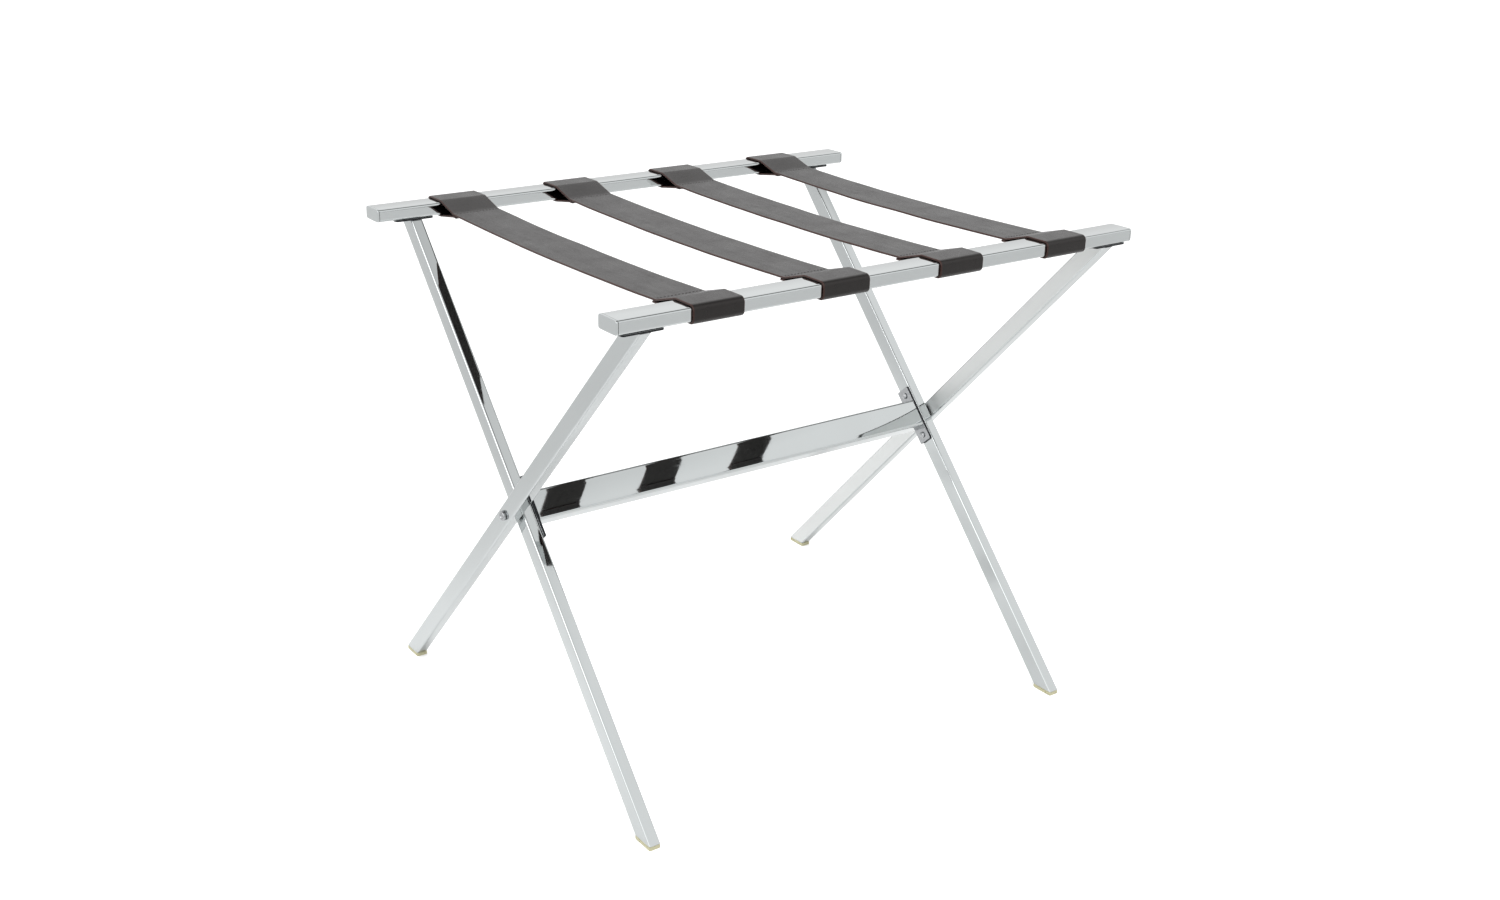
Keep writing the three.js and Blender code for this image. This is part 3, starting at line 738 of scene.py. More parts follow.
def screw_tree():
    """A cross-recess screw at each point, its head along the point's axis attribute."""
    build, given, out = group_tree("cross_screws", "GeometryNodeTree", [
        ("Geometry", "Geometry"), ("Head Radius", "Float"), ("Head Height", "Float"),
        ("Shank Radius", "Float"), ("Shank Length", "Float"), ("Material", "Material")],
        [("Geometry", "Geometry")])
    radius, height = given["Head Radius"], given["Head Height"]

    head = build.node("GeometryNodeMeshCylinder", {
        "Vertices": 32, "Side Segments": 1, "Fill Segments": 5, "Radius": radius, "Depth": height})
    place = build.node("ShaderNodeSeparateXYZ", {0: build.node("GeometryNodeInputPosition").outputs[0]})
    flat = build.node("ShaderNodeCombineXYZ", {"X": place.outputs["X"], "Y": place.outputs["Y"]})
    out_from_axis = build.node("ShaderNodeVectorMath", {0: flat.outputs[0]}, operation="LENGTH")
    share = build.math("DIVIDE", out_from_axis.outputs["Value"], radius)
    fall = build.math("MULTIPLY", build.math("POWER", share, 2.6), build.math("MULTIPLY", height, -0.6))
    drop = build.node("ShaderNodeCombineXYZ", {"Z": fall})
    on_top = build.math("GREATER_THAN", place.outputs["Z"], 0.0)
    domed = build.node("GeometryNodeSetPosition", {
        "Geometry": head.outputs["Mesh"], "Selection": on_top, "Offset": drop.outputs[0]})
    lift = build.node("ShaderNodeCombineXYZ", {"Z": build.math("MULTIPLY", height, 0.5)})
    lifted = build.node("GeometryNodeTransform", {
        "Geometry": domed.outputs[0], "Translation": lift.outputs[0]})

    shank_length = given["Shank Length"]
    shank = build.node("GeometryNodeMeshCylinder", {
        "Vertices": 20, "Side Segments": 4, "Radius": given["Shank Radius"], "Depth": shank_length})
    at_tip = build.math("LESS_THAN", place.outputs["Z"], build.math("MULTIPLY", shank_length, -0.49))
    drawn_in = build.node("ShaderNodeVectorMath", {
        0: build.node("GeometryNodeInputPosition").outputs[0], 1: (0.3, 0.3, 1.0)}, operation="MULTIPLY")
    pointed = build.node("GeometryNodeSetPosition", {
        "Geometry": shank.outputs["Mesh"], "Selection": at_tip, "Position": drawn_in.outputs[0]})
    below = build.node("ShaderNodeCombineXYZ", {"Z": build.math("MULTIPLY", shank_length, -0.48)})
    lowered = build.node("GeometryNodeTransform", {
        "Geometry": pointed.outputs[0], "Translation": below.outputs[0]})
    whole = build.node("GeometryNodeMeshBoolean", {1: lifted.outputs[0]}, operation="UNION")
    build.link(lowered.outputs[0], whole.inputs[1])

    top = build.node("ShaderNodeCombineXYZ", {"Z": height})
    long, short = build.math("MULTIPLY", radius, 1.2), build.math("MULTIPLY", radius, 0.26)
    recess = build.node("GeometryNodeMeshBoolean", {
        0: whole.outputs["Mesh"]}, operation="DIFFERENCE")
    for across, along in ((long, short), (short, long)):
        size = build.node("ShaderNodeCombineXYZ", {"X": across, "Y": along, "Z": height})
        slot = build.node("GeometryNodeMeshCube", {"Size": size.outputs[0]})
        raised = build.node("GeometryNodeTransform", {
            "Geometry": slot.outputs["Mesh"], "Translation": top.outputs[0]})
        build.link(raised.outputs[0], recess.inputs[1])

    axis = build.node("GeometryNodeInputNamedAttribute", {"Name": "axis"}, data_type="FLOAT_VECTOR")
    turn = build.node("GeometryNodeInputNamedAttribute", {"Name": "turn"}, data_type="FLOAT")
    aligned = build.node("FunctionNodeAlignRotationToVector", {
        "Vector": axis.outputs["Attribute"]}, axis="Z")
    spin = build.node("FunctionNodeAxisAngleToRotation", {
        "Axis": (0, 0, 1), "Angle": turn.outputs["Attribute"]})
    turned = build.node("FunctionNodeRotateRotation", {
        "Rotation": aligned.outputs[0], "Rotate By": spin.outputs[0]}, rotation_space="LOCAL")
    placed = build.node("GeometryNodeInstanceOnPoints", {
        "Points": given["Geometry"], "Instance": recess.outputs["Mesh"], "Rotation": turned.outputs[0]})
    return end_tree(build, placed.outputs[0], given, out)


def stitch_tree():
    """Thread laid in short stitches along each edge of the given rows."""
    build, given, out = group_tree("stitch_rows", "GeometryNodeTree", [
        ("Geometry", "Geometry"), ("Pitch", "Float"), ("Stitch Length", "Float"),
        ("Thread Radius", "Float"), ("Material", "Material")], [("Geometry", "Geometry")])
    rows = build.node("GeometryNodeMeshToCurve", {"Mesh": given["Geometry"]})
    spaced = build.node("GeometryNodeResampleCurve", {
        "Curve": rows.outputs[0], "Length": given["Pitch"]}, mode="LENGTH")
    bead = build.node("GeometryNodeMeshUVSphere", {"Segments": 8, "Rings": 6, "Radius": 1.0})
    half = build.math("MULTIPLY", given["Stitch Length"], 0.5)
    size = build.node("ShaderNodeCombineXYZ", {
        "X": half, "Y": given["Thread Radius"], "Z": given["Thread Radius"]})
    aligned = build.node("FunctionNodeAlignRotationToVector", {
        "Vector": build.node("GeometryNodeInputTangent").outputs[0]}, axis="X")
    placed = build.node("GeometryNodeInstanceOnPoints", {
        "Points": spaced.outputs[0], "Instance": bead.outputs["Mesh"],
        "Rotation": aligned.outputs[0], "Scale": size.outputs[0]})
    return end_tree(build, placed.outputs[0], given, out)


def belt_tree():
    """A belt's cross-section taken along its path, with soft waves where the path is slack."""
    build, given, out = group_tree("belt_along_path", "GeometryNodeTree", [
        ("Geometry", "Geometry"), ("Section", "Object"), ("Wrinkle Height", "Float"),
        ("Wrinkle Size", "Float"), ("Cupping", "Float"), ("Half Width", "Float"), ("Seed", "Float"),
        ("Material", "Material")], [("Geometry", "Geometry")])
    path = build.node("GeometryNodeMeshToCurve", {"Mesh": given["Geometry"]})
    section = build.node("GeometryNodeObjectInfo", {"Object": given["Section"]})
    outline = build.node("GeometryNodeMeshToCurve", {"Mesh": section.outputs["Geometry"]})
    belt = build.node("GeometryNodeCurveToMesh", {
        "Curve": path.outputs[0], "Profile Curve": outline.outputs[0], "Fill Caps": True})

    def read(name):
        made = build.node("GeometryNodeInputNamedAttribute", {"Name": name}, data_type="FLOAT")
        return made.outputs["Attribute"]

    flat = build.node("ShaderNodeCombineXYZ", {"X": read("across"), "Y": read("along")})
    mapped = build.node("GeometryNodeStoreNamedAttribute", {
        "Geometry": belt.outputs[0], "Name": "UVMap", "Value": flat.outputs[0]},
        data_type="FLOAT2", domain="CORNER")

    place = build.node("GeometryNodeInputPosition").outputs[0]
    apart = build.node("ShaderNodeCombineXYZ", {"X": given["Seed"]})
    moved = build.node("ShaderNodeVectorMath", {0: place, 1: apart.outputs[0]})
    squeezed = build.node("ShaderNodeVectorMath", {0: moved.outputs[0], 1: (1.0, 0.7, 0.0)},
                          operation="MULTIPLY")
    waves = build.node("ShaderNodeTexNoise", {
        "Vector": squeezed.outputs[0], "Scale": build.math("DIVIDE", 1.0, given["Wrinkle Size"]),
        "Detail": 1.0})
    centred = build.math("SUBTRACT", waves.outputs[0], 0.5)
    level = build.math("MULTIPLY", centred, given["Wrinkle Height"])
    share = build.math("DIVIDE", read("across"), given["Half Width"])
    toward_edge = build.math("POWER", build.math("ABSOLUTE", share), 2.0)
    cup = build.math("MULTIPLY", toward_edge, given["Cupping"])
    total = build.math("MULTIPLY", build.math("SUBTRACT", level, cup), read("slack"))
    offset = build.node("ShaderNodeCombineXYZ", {"Z": total})
    shaped = build.node("GeometryNodeSetPosition", {
        "Geometry": mapped.outputs[0], "Offset": offset.outputs[0]})
    return end_tree(build, shaped.outputs[0], given, out)


# ---- rails, legs and plates ----

def rail_bores(rail, side):
    """Screw holes under one end of a rail, or through its plate."""
    sizes = bpy.context.scene.rack_sizes
    names = [f"{rail}_plate_screw_{side}_{end}" for end in ("inboard", "outboard")]
    return [((middle(name).x, middle(name).y, RAIL_LOW.z), (0, 0, 1), sizes.screw_bore, DRILL_REACH)
            for name in names]


class RACK_OT_rails(bpy.types.Operator):
    """Build both rails and their four end caps"""
    bl_idname = "luggage_rack.rails"
    bl_label = "Rails and caps"

    def execute(self, context):
        sizes = context.scene.rack_sizes
        outline = box_outline(RAIL_WIDTH, RAIL_HEIGHT, sizes.rail_radius, sizes.bow)
        half = RAIL_HIGH.x
        for rail, way, body in RAILS:
            put = lambda y, z, along, w=way: Vector((along - half, w * RAIL_Y + y, RAIL_Z + z))
            tube = sweep(f"{rail}_rail_tube", outline, tube_profile(2 * half, sizes.wall, sizes.edge),
                         put, hollow=True)
            drill(tube, rail_bores(rail, "left") + rail_bores(rail, "right"))
            finish(tube, "rail_chrome", body, [f"{rail}_rail"])
            for side_name, side in SIDES:
                self.cap(sizes, rail, way, body, side_name, side)
        return {"FINISHED"}

    def cap(self, sizes, rail, way, body, side_name, side):
        node = f"{rail}_rail_cap_{side_name}"
        plug_end, outer = near_and_far(node, side)
        inner = RAIL_HIGH.x + (RACK_END - RAIL_HIGH.x) * 0.13  # the cap's flange stops short of its tube
        bore = sizes.wall + sizes.plug_clearance
        profile = [(bore + 1 * MM, plug_end), (bore + 0.4 * MM, plug_end), (bore, plug_end + 0.6 * MM),
                   (bore, inner - SUPPORT), (bore, inner), (0.2 * MM, inner), (0, inner + 0.2 * MM)]
        profile += [(inset, outer - drop) for inset, drop in reversed(rounding(sizes.cap_edge, 4))][1:]
        put = lambda y, z, along: Vector((side * along, way * RAIL_Y + y, RAIL_Z + z))
        outline = box_outline(RAIL_WIDTH, RAIL_HEIGHT, sizes.rail_radius, sizes.bow)
        cap = sweep(f"{node}_plug", outline, profile, put)
        finish(cap, "rail_chrome", body, [node])


class RACK_OT_legs(bpy.types.Operator):
    """Build the four legs, their feet and their mounting plates"""
    bl_idname = "luggage_rack.legs"
    bl_label = "Legs, feet and plates"

    def execute(self, context):
        sizes = context.scene.rack_sizes
        for pair, rail, lean, body in (("outer", "front", -1, OUTER), ("inner", "rear", 1, INNER)):
            for side_name, side in SIDES:
                self.leg(sizes, pair, lean, body, side_name, side)
                self.foot(sizes, pair, lean, body, side_name)
                self.plate(sizes, rail, body, side_name)
        return {"FINISHED"}

    def leg(self, sizes, pair, lean, body, side_name, side):
        node = f"{pair}_leg_{side_name}"
        x = middle(node).x
        outline = box_outline(LEG_WIDTH, LEG_DEPTH, sizes.leg_radius, sizes.bow)
        tube = sweep(f"{node}_tube", outline, tube_profile(LEG_HEIGHT, sizes.wall, sizes.edge),
                     leaning(x, lean), hollow=True)
        bores = [((x, 0, PIVOT_Z), (1, 0, 0), sizes.pivot_bore, 2 * LEG_WIDTH)]
        if pair == "inner":
            for end in ("lower", "upper"):
                centre = middle(f"stretcher_screw_{side_name}_{end}")
                centre.x = x - side * LEG_WIDTH / 2
                bores.append((centre, (1, 0, 0), sizes.screw_bore, LEG_WIDTH))
        drill(tube, bores)
        finish(tube, "leg_chrome", body, [node])
        if body == OUTER:
            dull_face_painted_light(tube, (-side, 0, 0))

    def foot(self, sizes, pair, lean, body, side_name):
        node = f"{pair}_foot_{side_name}"
        x, top = middle(node).x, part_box(node)[1].z
        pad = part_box(f"{pair}_leg_{side_name}")[0].z - WELD_GAP
        edge = 0.7 * MM
        bore = sizes.wall + sizes.plug_clearance
        lift = leaning(x, lean)
        floor_y = -lean * RAIL_Y
        pad_outline = box_outline(LEG_WIDTH, LEG_DEPTH / math.cos(LEG_LEAN), sizes.leg_radius)
        plug_outline = box_outline(LEG_WIDTH, LEG_DEPTH, sizes.leg_radius)
        rings = [[Vector((x + p.x, floor_y + p.y, z)) for p in pad_outline(inset)]
                 for inset, z in solid_profile(pad, edge)]
        stem = [(bore, pad), (bore, pad + SUPPORT), (bore, top - 0.5 * MM), (bore + 0.5 * MM, top)]
        rings += [[lift(p.x, p.y, z - LEG_LOW.z) for p in plug_outline(inset)] for inset, z in stem]
        foot = add_body(f"{node}_pad", rings, hollow=False)
        outward(foot.data)
        finish(foot, "clear_plastic", body, [node], angle=50)

    def plate(self, sizes, rail, body, side_name):
        node = f"{rail}_leg_plate_{side_name}"
        low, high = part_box(node)
        centre, size = (low + high) / 2, high - low
        put = lambda x, y, along: Vector((centre.x + x, centre.y + y, low.z + along))
        plate = sweep(f"{node}_stamping", box_outline(size.x, size.y, sizes.plate_radius),
                      solid_profile(size.z, 0.4 * MM), put)
        drill(plate, rail_bores(rail, side_name))
        finish(plate, "plate_chrome", body, [node])
        paint_shade_on_plate_edges(plate, (0, 0, 1))


# ---- hinge ----

class RACK_OT_pivots(bpy.types.Operator):
    """Build the pivot bolts, washers and nuts on the hinge line"""
    bl_idname = "luggage_rack.pivots"
    bl_label = "Hinge hardware"

    def execute(self, context):
        sizes = context.scene.rack_sizes
        for side_name, side in SIDES:
            put = lambda y, z, along, s=side: Vector((s * along, y, PIVOT_Z + z))
            self.bolt(sizes, side_name, side, put)
            self.washer(sizes, side_name, side, put)
            self.nut(sizes, side_name, side, put)
        return {"FINISHED"}

    def bolt(self, sizes, side_name, side, put):
        node = f"pivot_bolt_{side_name}"
        tip, top = near_and_far(node, side)
        head = extent(node).y / 2
        under = near_and_far(f"outer_leg_{side_name}", side)[1] + WELD_GAP
        rise = top - under
        shank = head - sizes.pivot_radius
        bevel = 0.3 * MM
        chamfer = 0.5 * MM
        stem = [(shank + 2 * chamfer, tip), (shank + chamfer, tip), (shank, tip + chamfer),
                (shank, under - SUPPORT), (shank, under), (bevel, under), (0, under + bevel)]
        shoulder = [(head * 0.22 * (1 - math.cos(a)), under + rise * (0.5 + 0.5 * math.sin(a)))
                    for a in (math.pi / 2 * i / 5 for i in range(6))]
        rim = 0.24 * head
        groove = top - 0.9 * MM  # bottom of the ring groove between the rim and the low middle
        crown = [(rim + 0.5 * MM, top - 0.1 * MM), (rim + 0.9 * MM, groove + 0.15 * MM),
                 (rim + 1.2 * MM, groove), (rim + 1.5 * MM, groove + 0.25 * MM),
                 (rim + 2.4 * MM, groove + 0.5 * MM), (head - 0.2 * MM, groove + 0.6 * MM)]
        profile = stem + shoulder + crown
        bolt = sweep(f"{node}_rivet", round_outline(head, 40), profile, put)
        finish(bolt, "bolt_chrome", OUTER, [node])

    def washer(self, sizes, side_name, side, put):
        node = f"pivot_washer_{side_name}"
        near, far = near_and_far(node, side)
        radius = extent(node).y / 2
        profile = tube_profile(far - near, radius - sizes.pivot_bore, 0.2 * MM)
        washer = sweep(f"{node}_ring", round_outline(radius, 40),
                       [(inset, near + along) for inset, along in profile], put, hollow=True)
        finish(washer, "black_nylon", OUTER, [node])

    def nut(self, sizes, side_name, side, put):
        node = f"pivot_nut_{side_name}"
        near, far = near_and_far(node, side)
        flats = min(extent(node).y, extent(node).z)
        hexagon, bore = hexagon_outline(flats), round_outline(sizes.pivot_bore, 48)
        edge = 0.4 * MM
        rings = [[put(p.x, p.y, along) for p in outline(inset)] for outline, inset, along in (
            (hexagon, edge, near), (hexagon, 0, near + edge), (hexagon, 0, far - edge),
            (hexagon, edge, far), (bore, 0, far), (bore, 0, near))]
        nut = add_body(f"{node}_hex", rings, hollow=True)
        outward(nut.data)
        finish(nut, "screw_zinc", OUTER, [node])


# ---- stretcher ----

class RACK_OT_stretcher(bpy.types.Operator):
    """Build the stretcher bar and its two end plates"""
    bl_idname = "luggage_rack.stretcher"
    bl_label = "Stretcher"

    def execute(self, context):
        sizes = context.scene.rack_sizes
        half = extent("stretcher_bar").x / 2
        spread_y, spread_z = extent("stretcher_bar").y, extent("stretcher_bar").z
        # The leaning bar's own depth and height, from the upright box that it fills
        c, s = math.cos(LEG_LEAN), math.sin(LEG_LEAN)
        trim = 2 * sizes.stretcher_radius * (s + c - 1)
        depth = ((spread_y + trim) * c - (spread_z + trim) * s) / (c * c - s * s)
        height = ((spread_z + trim) * c - (spread_y + trim) * s) / (c * c - s * s)
        bar = sweep("stretcher_bar_tube", box_outline(depth, height, sizes.stretcher_radius, sizes.bow),
                    tube_profile(2 * half, sizes.wall, sizes.edge),
                    lambda y, z, along: self.lean(along - half, y, z), hollow=True)
        finish(bar, "rail_chrome", INNER, ["stretcher_bar"])
        for side_name, _ in SIDES:
            self.end_plate(sizes, side_name, depth)
        return {"FINISHED"}

    def lean(self, x, y, z):
        """Point on the bar from across, deep and high, tipped to lie square to the inner legs."""
        c, s = math.cos(LEG_LEAN), math.sin(LEG_LEAN)
        return Vector((x, y * c + z * s, PIVOT_Z - y * s + z * c))

    def end_plate(self, sizes, side_name, depth):
        node = f"stretcher_plate_{side_name}"
        low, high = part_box(node)
        c, s = math.cos(LEG_LEAN), math.sin(LEG_LEAN)
        corner = 1.5 * MM
        nut_clearance = 6.8 * MM
        tall = ((high.z - low.z) - depth * s + 2 * corner * (s + c - 1)) / c
        plate = sweep(f"{node}_stamping", box_outline(depth, tall, corner),
                      solid_profile(high.x - low.x, 0.4 * MM),
                      lambda y, z, along: self.lean(low.x + along, y, z))
        bores = [((middle(node).x, 0, PIVOT_Z), (1, 0, 0), nut_clearance, DRILL_REACH)]
        for end in ("lower", "upper"):
            centre = middle(f"stretcher_screw_{side_name}_{end}")
            centre.x = middle(node).x
            bores.append((centre, (1, 0, 0), sizes.screw_bore, DRILL_REACH))
        drill(plate, bores)
        finish(plate, "plate_chrome", INNER, [node])
        paint_shade_on_plate_edges(plate, (1, 0, 0))


# ---- screws ----

class RACK_OT_screws(bpy.types.Operator):
    """Set a cross-recess screw at every screw place, one mesh for each rail's plates and one for the
    stretcher
    """
    bl_idname = "luggage_rack.screws"
    bl_label = "Screws"

    def execute(self, context):
        sizes = context.scene.rack_sizes
        tree = screw_tree()
        for rail, _, body in RAILS:
            names = [f"{rail}_plate_screw_{side}_{end}"
                     for side, _ in SIDES for end in ("inboard", "outboard")]
            points = [Vector((middle(name).x, middle(name).y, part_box(name)[0].z + sizes.head_height))
                      for name in names]
            self.screws(sizes, tree, f"{rail}_plate_screws", points, [(0, 0, -1)] * 4, names, body)
        names = [f"stretcher_screw_{side}_{end}" for side, _ in SIDES for end in ("lower", "upper")]
        points, axes = [], []
        for name in names:
            low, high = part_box(name)
            side = 1 if low.x > 0 else -1
            head = low.x if side > 0 else high.x
            points.append(Vector((head + side * sizes.head_height, middle(name).y, middle(name).z)))
            axes.append((-side, 0, 0))
        self.screws(sizes, tree, "stretcher_screws", points, axes, names, INNER)
        return {"FINISHED"}

    def screws(self, sizes, tree, name, points, axes, nodes, body):
        turns = [0.5 + 1.9 * i for i in range(len(points))]  # each recess stops at its own angle
        shank = max(extent(nodes[0])) - sizes.head_height
        piece = loose_mesh(name, points, axis=axes, turn=turns)
        run_tree(piece, tree, {
            "Head Radius": sizes.head_radius, "Head Height": sizes.head_height,
            "Shank Radius": sizes.shank_radius, "Shank Length": shank,
            "Material": material("screw_zinc")})
        outward(piece.data)
        finish(piece, "screw_zinc", body, nodes, angle=40)


# ---- belts ----

def rounded_path(corners, step=math.radians(9)):
    """Points along straight runs with an arc of the given radius at each inner (y, z, radius) corner."""
    spots = [Vector((y, z)) for y, z, _ in corners]
    points = [spots[0]]
    for before, here, after, (_, _, radius) in zip(spots, spots[1:], spots[2:], corners[1:]):
        inward, onward = (before - here).normalized(), (after - here).normalized()
        half = inward.angle(onward) / 2
        reach = radius / math.tan(half)
        centre = here + (inward + onward).normalized() * (radius / math.sin(half))
        start, end = here + inward * reach - centre, here + onward * reach - centre
        turn = start.angle(end)
        sign = 1 if start.x * end.y - start.y * end.x > 0 else -1
        count = max(2, math.ceil(turn / step))
        base = math.atan2(start.y, start.x)
        angles = [base + sign * turn * i / count for i in range(count + 1)]
        points += [centre + Vector((math.cos(a), math.sin(a))) * radius for a in angles]
    return points + [spots[-1]]


def subdivided(points, longest):
    fine = [points[0]]
    for a, b in zip(points, points[1:]):
        count = max(1, math.ceil((b - a).length / longest))
        fine += [a.lerp(b, i / count) for i in range(1, count + 1)]
    return fine


def belt_path(sizes, belts):
    """Middle line of a belt, as (y, z) points from its front tail round both rails to its rear tail."""
    half = belts.thickness / 2
    bend = sizes.rail_radius + belts.slack + half  # radius of the belt's middle round a rail corner
    near = RAIL_Y - RAIL_WIDTH / 2 - bend + sizes.rail_radius
    far = RAIL_Y + RAIL_WIDTH / 2 + bend - sizes.rail_radius
    top, bottom = BELT_TOP - half, RAIL_LOW.z - belts.slack - half
    loose = 1.15 * bend  # the belt doesn't hug the rail's outer corners
    join_z = BELT_TOP - belts.join_drop - half
    under_z = join_z - belts.thickness - LAYER_GAP
    slope = 2 * belts.sag / belts.join
    span_share = 0.84  # of the way from the middle to the join, where the free span ends
    centre_y = near + bend

    def sagging(y):
        return join_z - belts.sag * (1 - (y / belts.join) ** 2)

    def corner_y(z_from, z_to):
        """Where a line from the join that touches the corner arc meets the level z_to."""
        rise, run = (z_to - math.copysign(bend, z_to - z_from)) - z_from, centre_y - belts.join
        lean = math.atan2(rise, run)
        touch = math.asin(bend / math.hypot(rise, run))
        return belts.join + (z_to - z_from) / math.tan(lean + math.copysign(touch, z_to - z_from))

    corners = [
        (belts.join * span_share, join_z - slope * belts.join * (1 - span_share), 0),
        (belts.join, join_z, belts.crease),
        (corner_y(join_z, top), top, bend),
        (far, top, loose),
        (far, bottom, loose),
        (corner_y(under_z, bottom), bottom, bend),
        (belts.join, under_z, belts.crease),
        (belts.join - belts.tail, under_z - slope * belts.tail, 0),
    ]
    loop = rounded_path(corners)
    start = loop[0].x
    span = [Vector((start * i / SPAN_STEPS, sagging(start * i / SPAN_STEPS)))
            for i in range(SPAN_STEPS)]
    loop[0].y = sagging(start)
    rear = subdivided(span + loop, 4 * MM)
    front = [Vector((-p.x, p.y)) for p in reversed(rear[1:])]
    return front + rear


def belt_section(belts):
    """Cross-section of a belt: points (across, through), and how far each is into the ground edge."""
    x, z = BELT_WIDTH / 2, belts.thickness / 2
    edge = min(belts.edge, z * 0.95)
    flats = 14
    ends = []
    for cx, cz, start in ((x - edge, z - edge, 90), (x - edge, -z + edge, 0)):
        turns = [math.radians(start - 90 * i / 4) for i in range(5)]
        ends += [(cx + edge * math.cos(a), cz + edge * math.sin(a)) for a in turns]
    inner = x - edge - SUPPORT
    top = [(-inner + 2 * inner * i / flats, z) for i in range(flats + 1)]
    bottom = [(px, -pz) for px, pz in reversed(top)]
    left = [(-px, -pz) for px, pz in ends]
    ring = top + ends + bottom + left
    into_edge = [0.0] * len(top) + [1.0] * len(ends) + [0.0] * len(bottom) + [1.0] * len(left)
    into_edge[len(top)] = into_edge[len(top) + len(ends) + len(bottom)] = 0.35
    return ring, into_edge


class RACK_OT_belts(bpy.types.Operator):
    """Build the four leatherette belts with their sewn loops and stitches"""
    bl_idname = "luggage_rack.belts"
    bl_label = "Belts"

    def execute(self, context):
        sizes, belts = context.scene.rack_sizes, context.scene.rack_belts
        path = belt_path(sizes, belts)
        along = [0.0]
        for a, b in zip(path, path[1:]):
            along.append(along[-1] + (b - a).length)
        ring, into_edge = belt_section(belts)
        section = loose_mesh("belt_section", [(x, z, 0) for x, z in ring],
                             [(i, (i + 1) % len(ring)) for i in range(len(ring))],
                             across=[x for x, _ in ring], belt_edge=into_edge)
        ribbon, stitching = belt_tree(), stitch_tree()
        for i, name in enumerate(BELT_NAMES):
            self.belt(belts, name, i, path, along, section, ribbon, stitching)
        bpy.data.objects.remove(section)
        return {"FINISHED"}

    def belt(self, belts, name, index, path, along, section, ribbon, stitching):
        x = middle(f"{name}_span").x
        waved = 0.9 * belts.join  # the soft waves die away towards here
        slack = [max(0.0, 1 - abs(p.x) / waved) ** 0.5 for p in path]
        piece = loose_mesh(f"{name}_belt", [(x + self.aside(belts, p.x), p.x, p.y) for p in path],
                           [(k, k + 1) for k in range(len(path) - 1)], along=along, slack=slack)
        run_tree(piece, ribbon, {
            "Section": section, "Wrinkle Height": belts.wrinkle, "Wrinkle Size": WAVE_SIZE,
            "Cupping": CUPPING, "Half Width": BELT_WIDTH / 2, "Seed": 3.7 * index,
            "Material": material("leatherette")})
        outward(piece.data)
        smooth(piece.data, 45)
        stitches = self.stitches(belts, name, x, stitching)
        nodes = [f"{name}_{part}" for part in ("front_loop", "span", "rear_loop")]
        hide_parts(*nodes)
        for part in (piece, stitches):
            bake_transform(part)

    def aside(self, belts, y):
        """How far the skewed belt is to the right at y: all of the skew in front, none at the rear."""
        return belts.skew * (0.5 - 0.5 * max(-1.0, min(1.0, y / belts.join)))

    def stitches(self, belts, name, x, tree):
        half = BELT_WIDTH / 2 - 4 * MM  # the rows stop short of the belt's edges
        points, edges = [], []
        for way in (-1, 1):
            y = belts.join - belts.tail / 2
            seam_x = x + self.aside(belts, way * y)
            top = BELT_TOP - belts.join_drop - belts.sag * (1 - (y / belts.join) ** 2)
            for z in (top, top - 2 * belts.thickness - LAYER_GAP):
                edges.append((len(points), len(points) + 1))
                points += [(seam_x - half, way * y, z), (seam_x + half, way * y, z)]
        piece = loose_mesh(f"{name}_stitches", points, edges)
        run_tree(piece, tree, {
            "Pitch": belts.stitch_pitch, "Stitch Length": belts.stitch_length,
            "Thread Radius": belts.thread, "Material": material("sewing_thread")})
        outward(piece.data)
        smooth(piece.data, 60)
        return piece


# ---- stage ----

# Brightness of the reflected surroundings by height: 0 at the horizon and 1 straight up
REFLECTED_LEVELS = ((0.0, 0.86), (0.20, 0.93), (0.29, 1.16), (0.70, 1.22), (0.80, 0.98),
                    (0.85, 0.90), (1.0, 0.60))
# Bright boxes: direction, cosines at which each is full and at which it ends, and added light
REFLECTED_BOXES = (((-0.81, -0.03, 0.58), 0.95, 0.90, 2.2),  # left of the rack
                   ((-0.66, -0.68, 0.31), 0.975, 0.94, 1.1))  # behind the camera
SURROUNDINGS = 1.1  # plain brightness that the camera and matt surfaces receive
SLOT_DIMMING = 0.8  # share of the reflected light that the slot overhead takes away
FLOOR_GLOW = 0.36  # light that the floor sends to the camera besides what it reflects


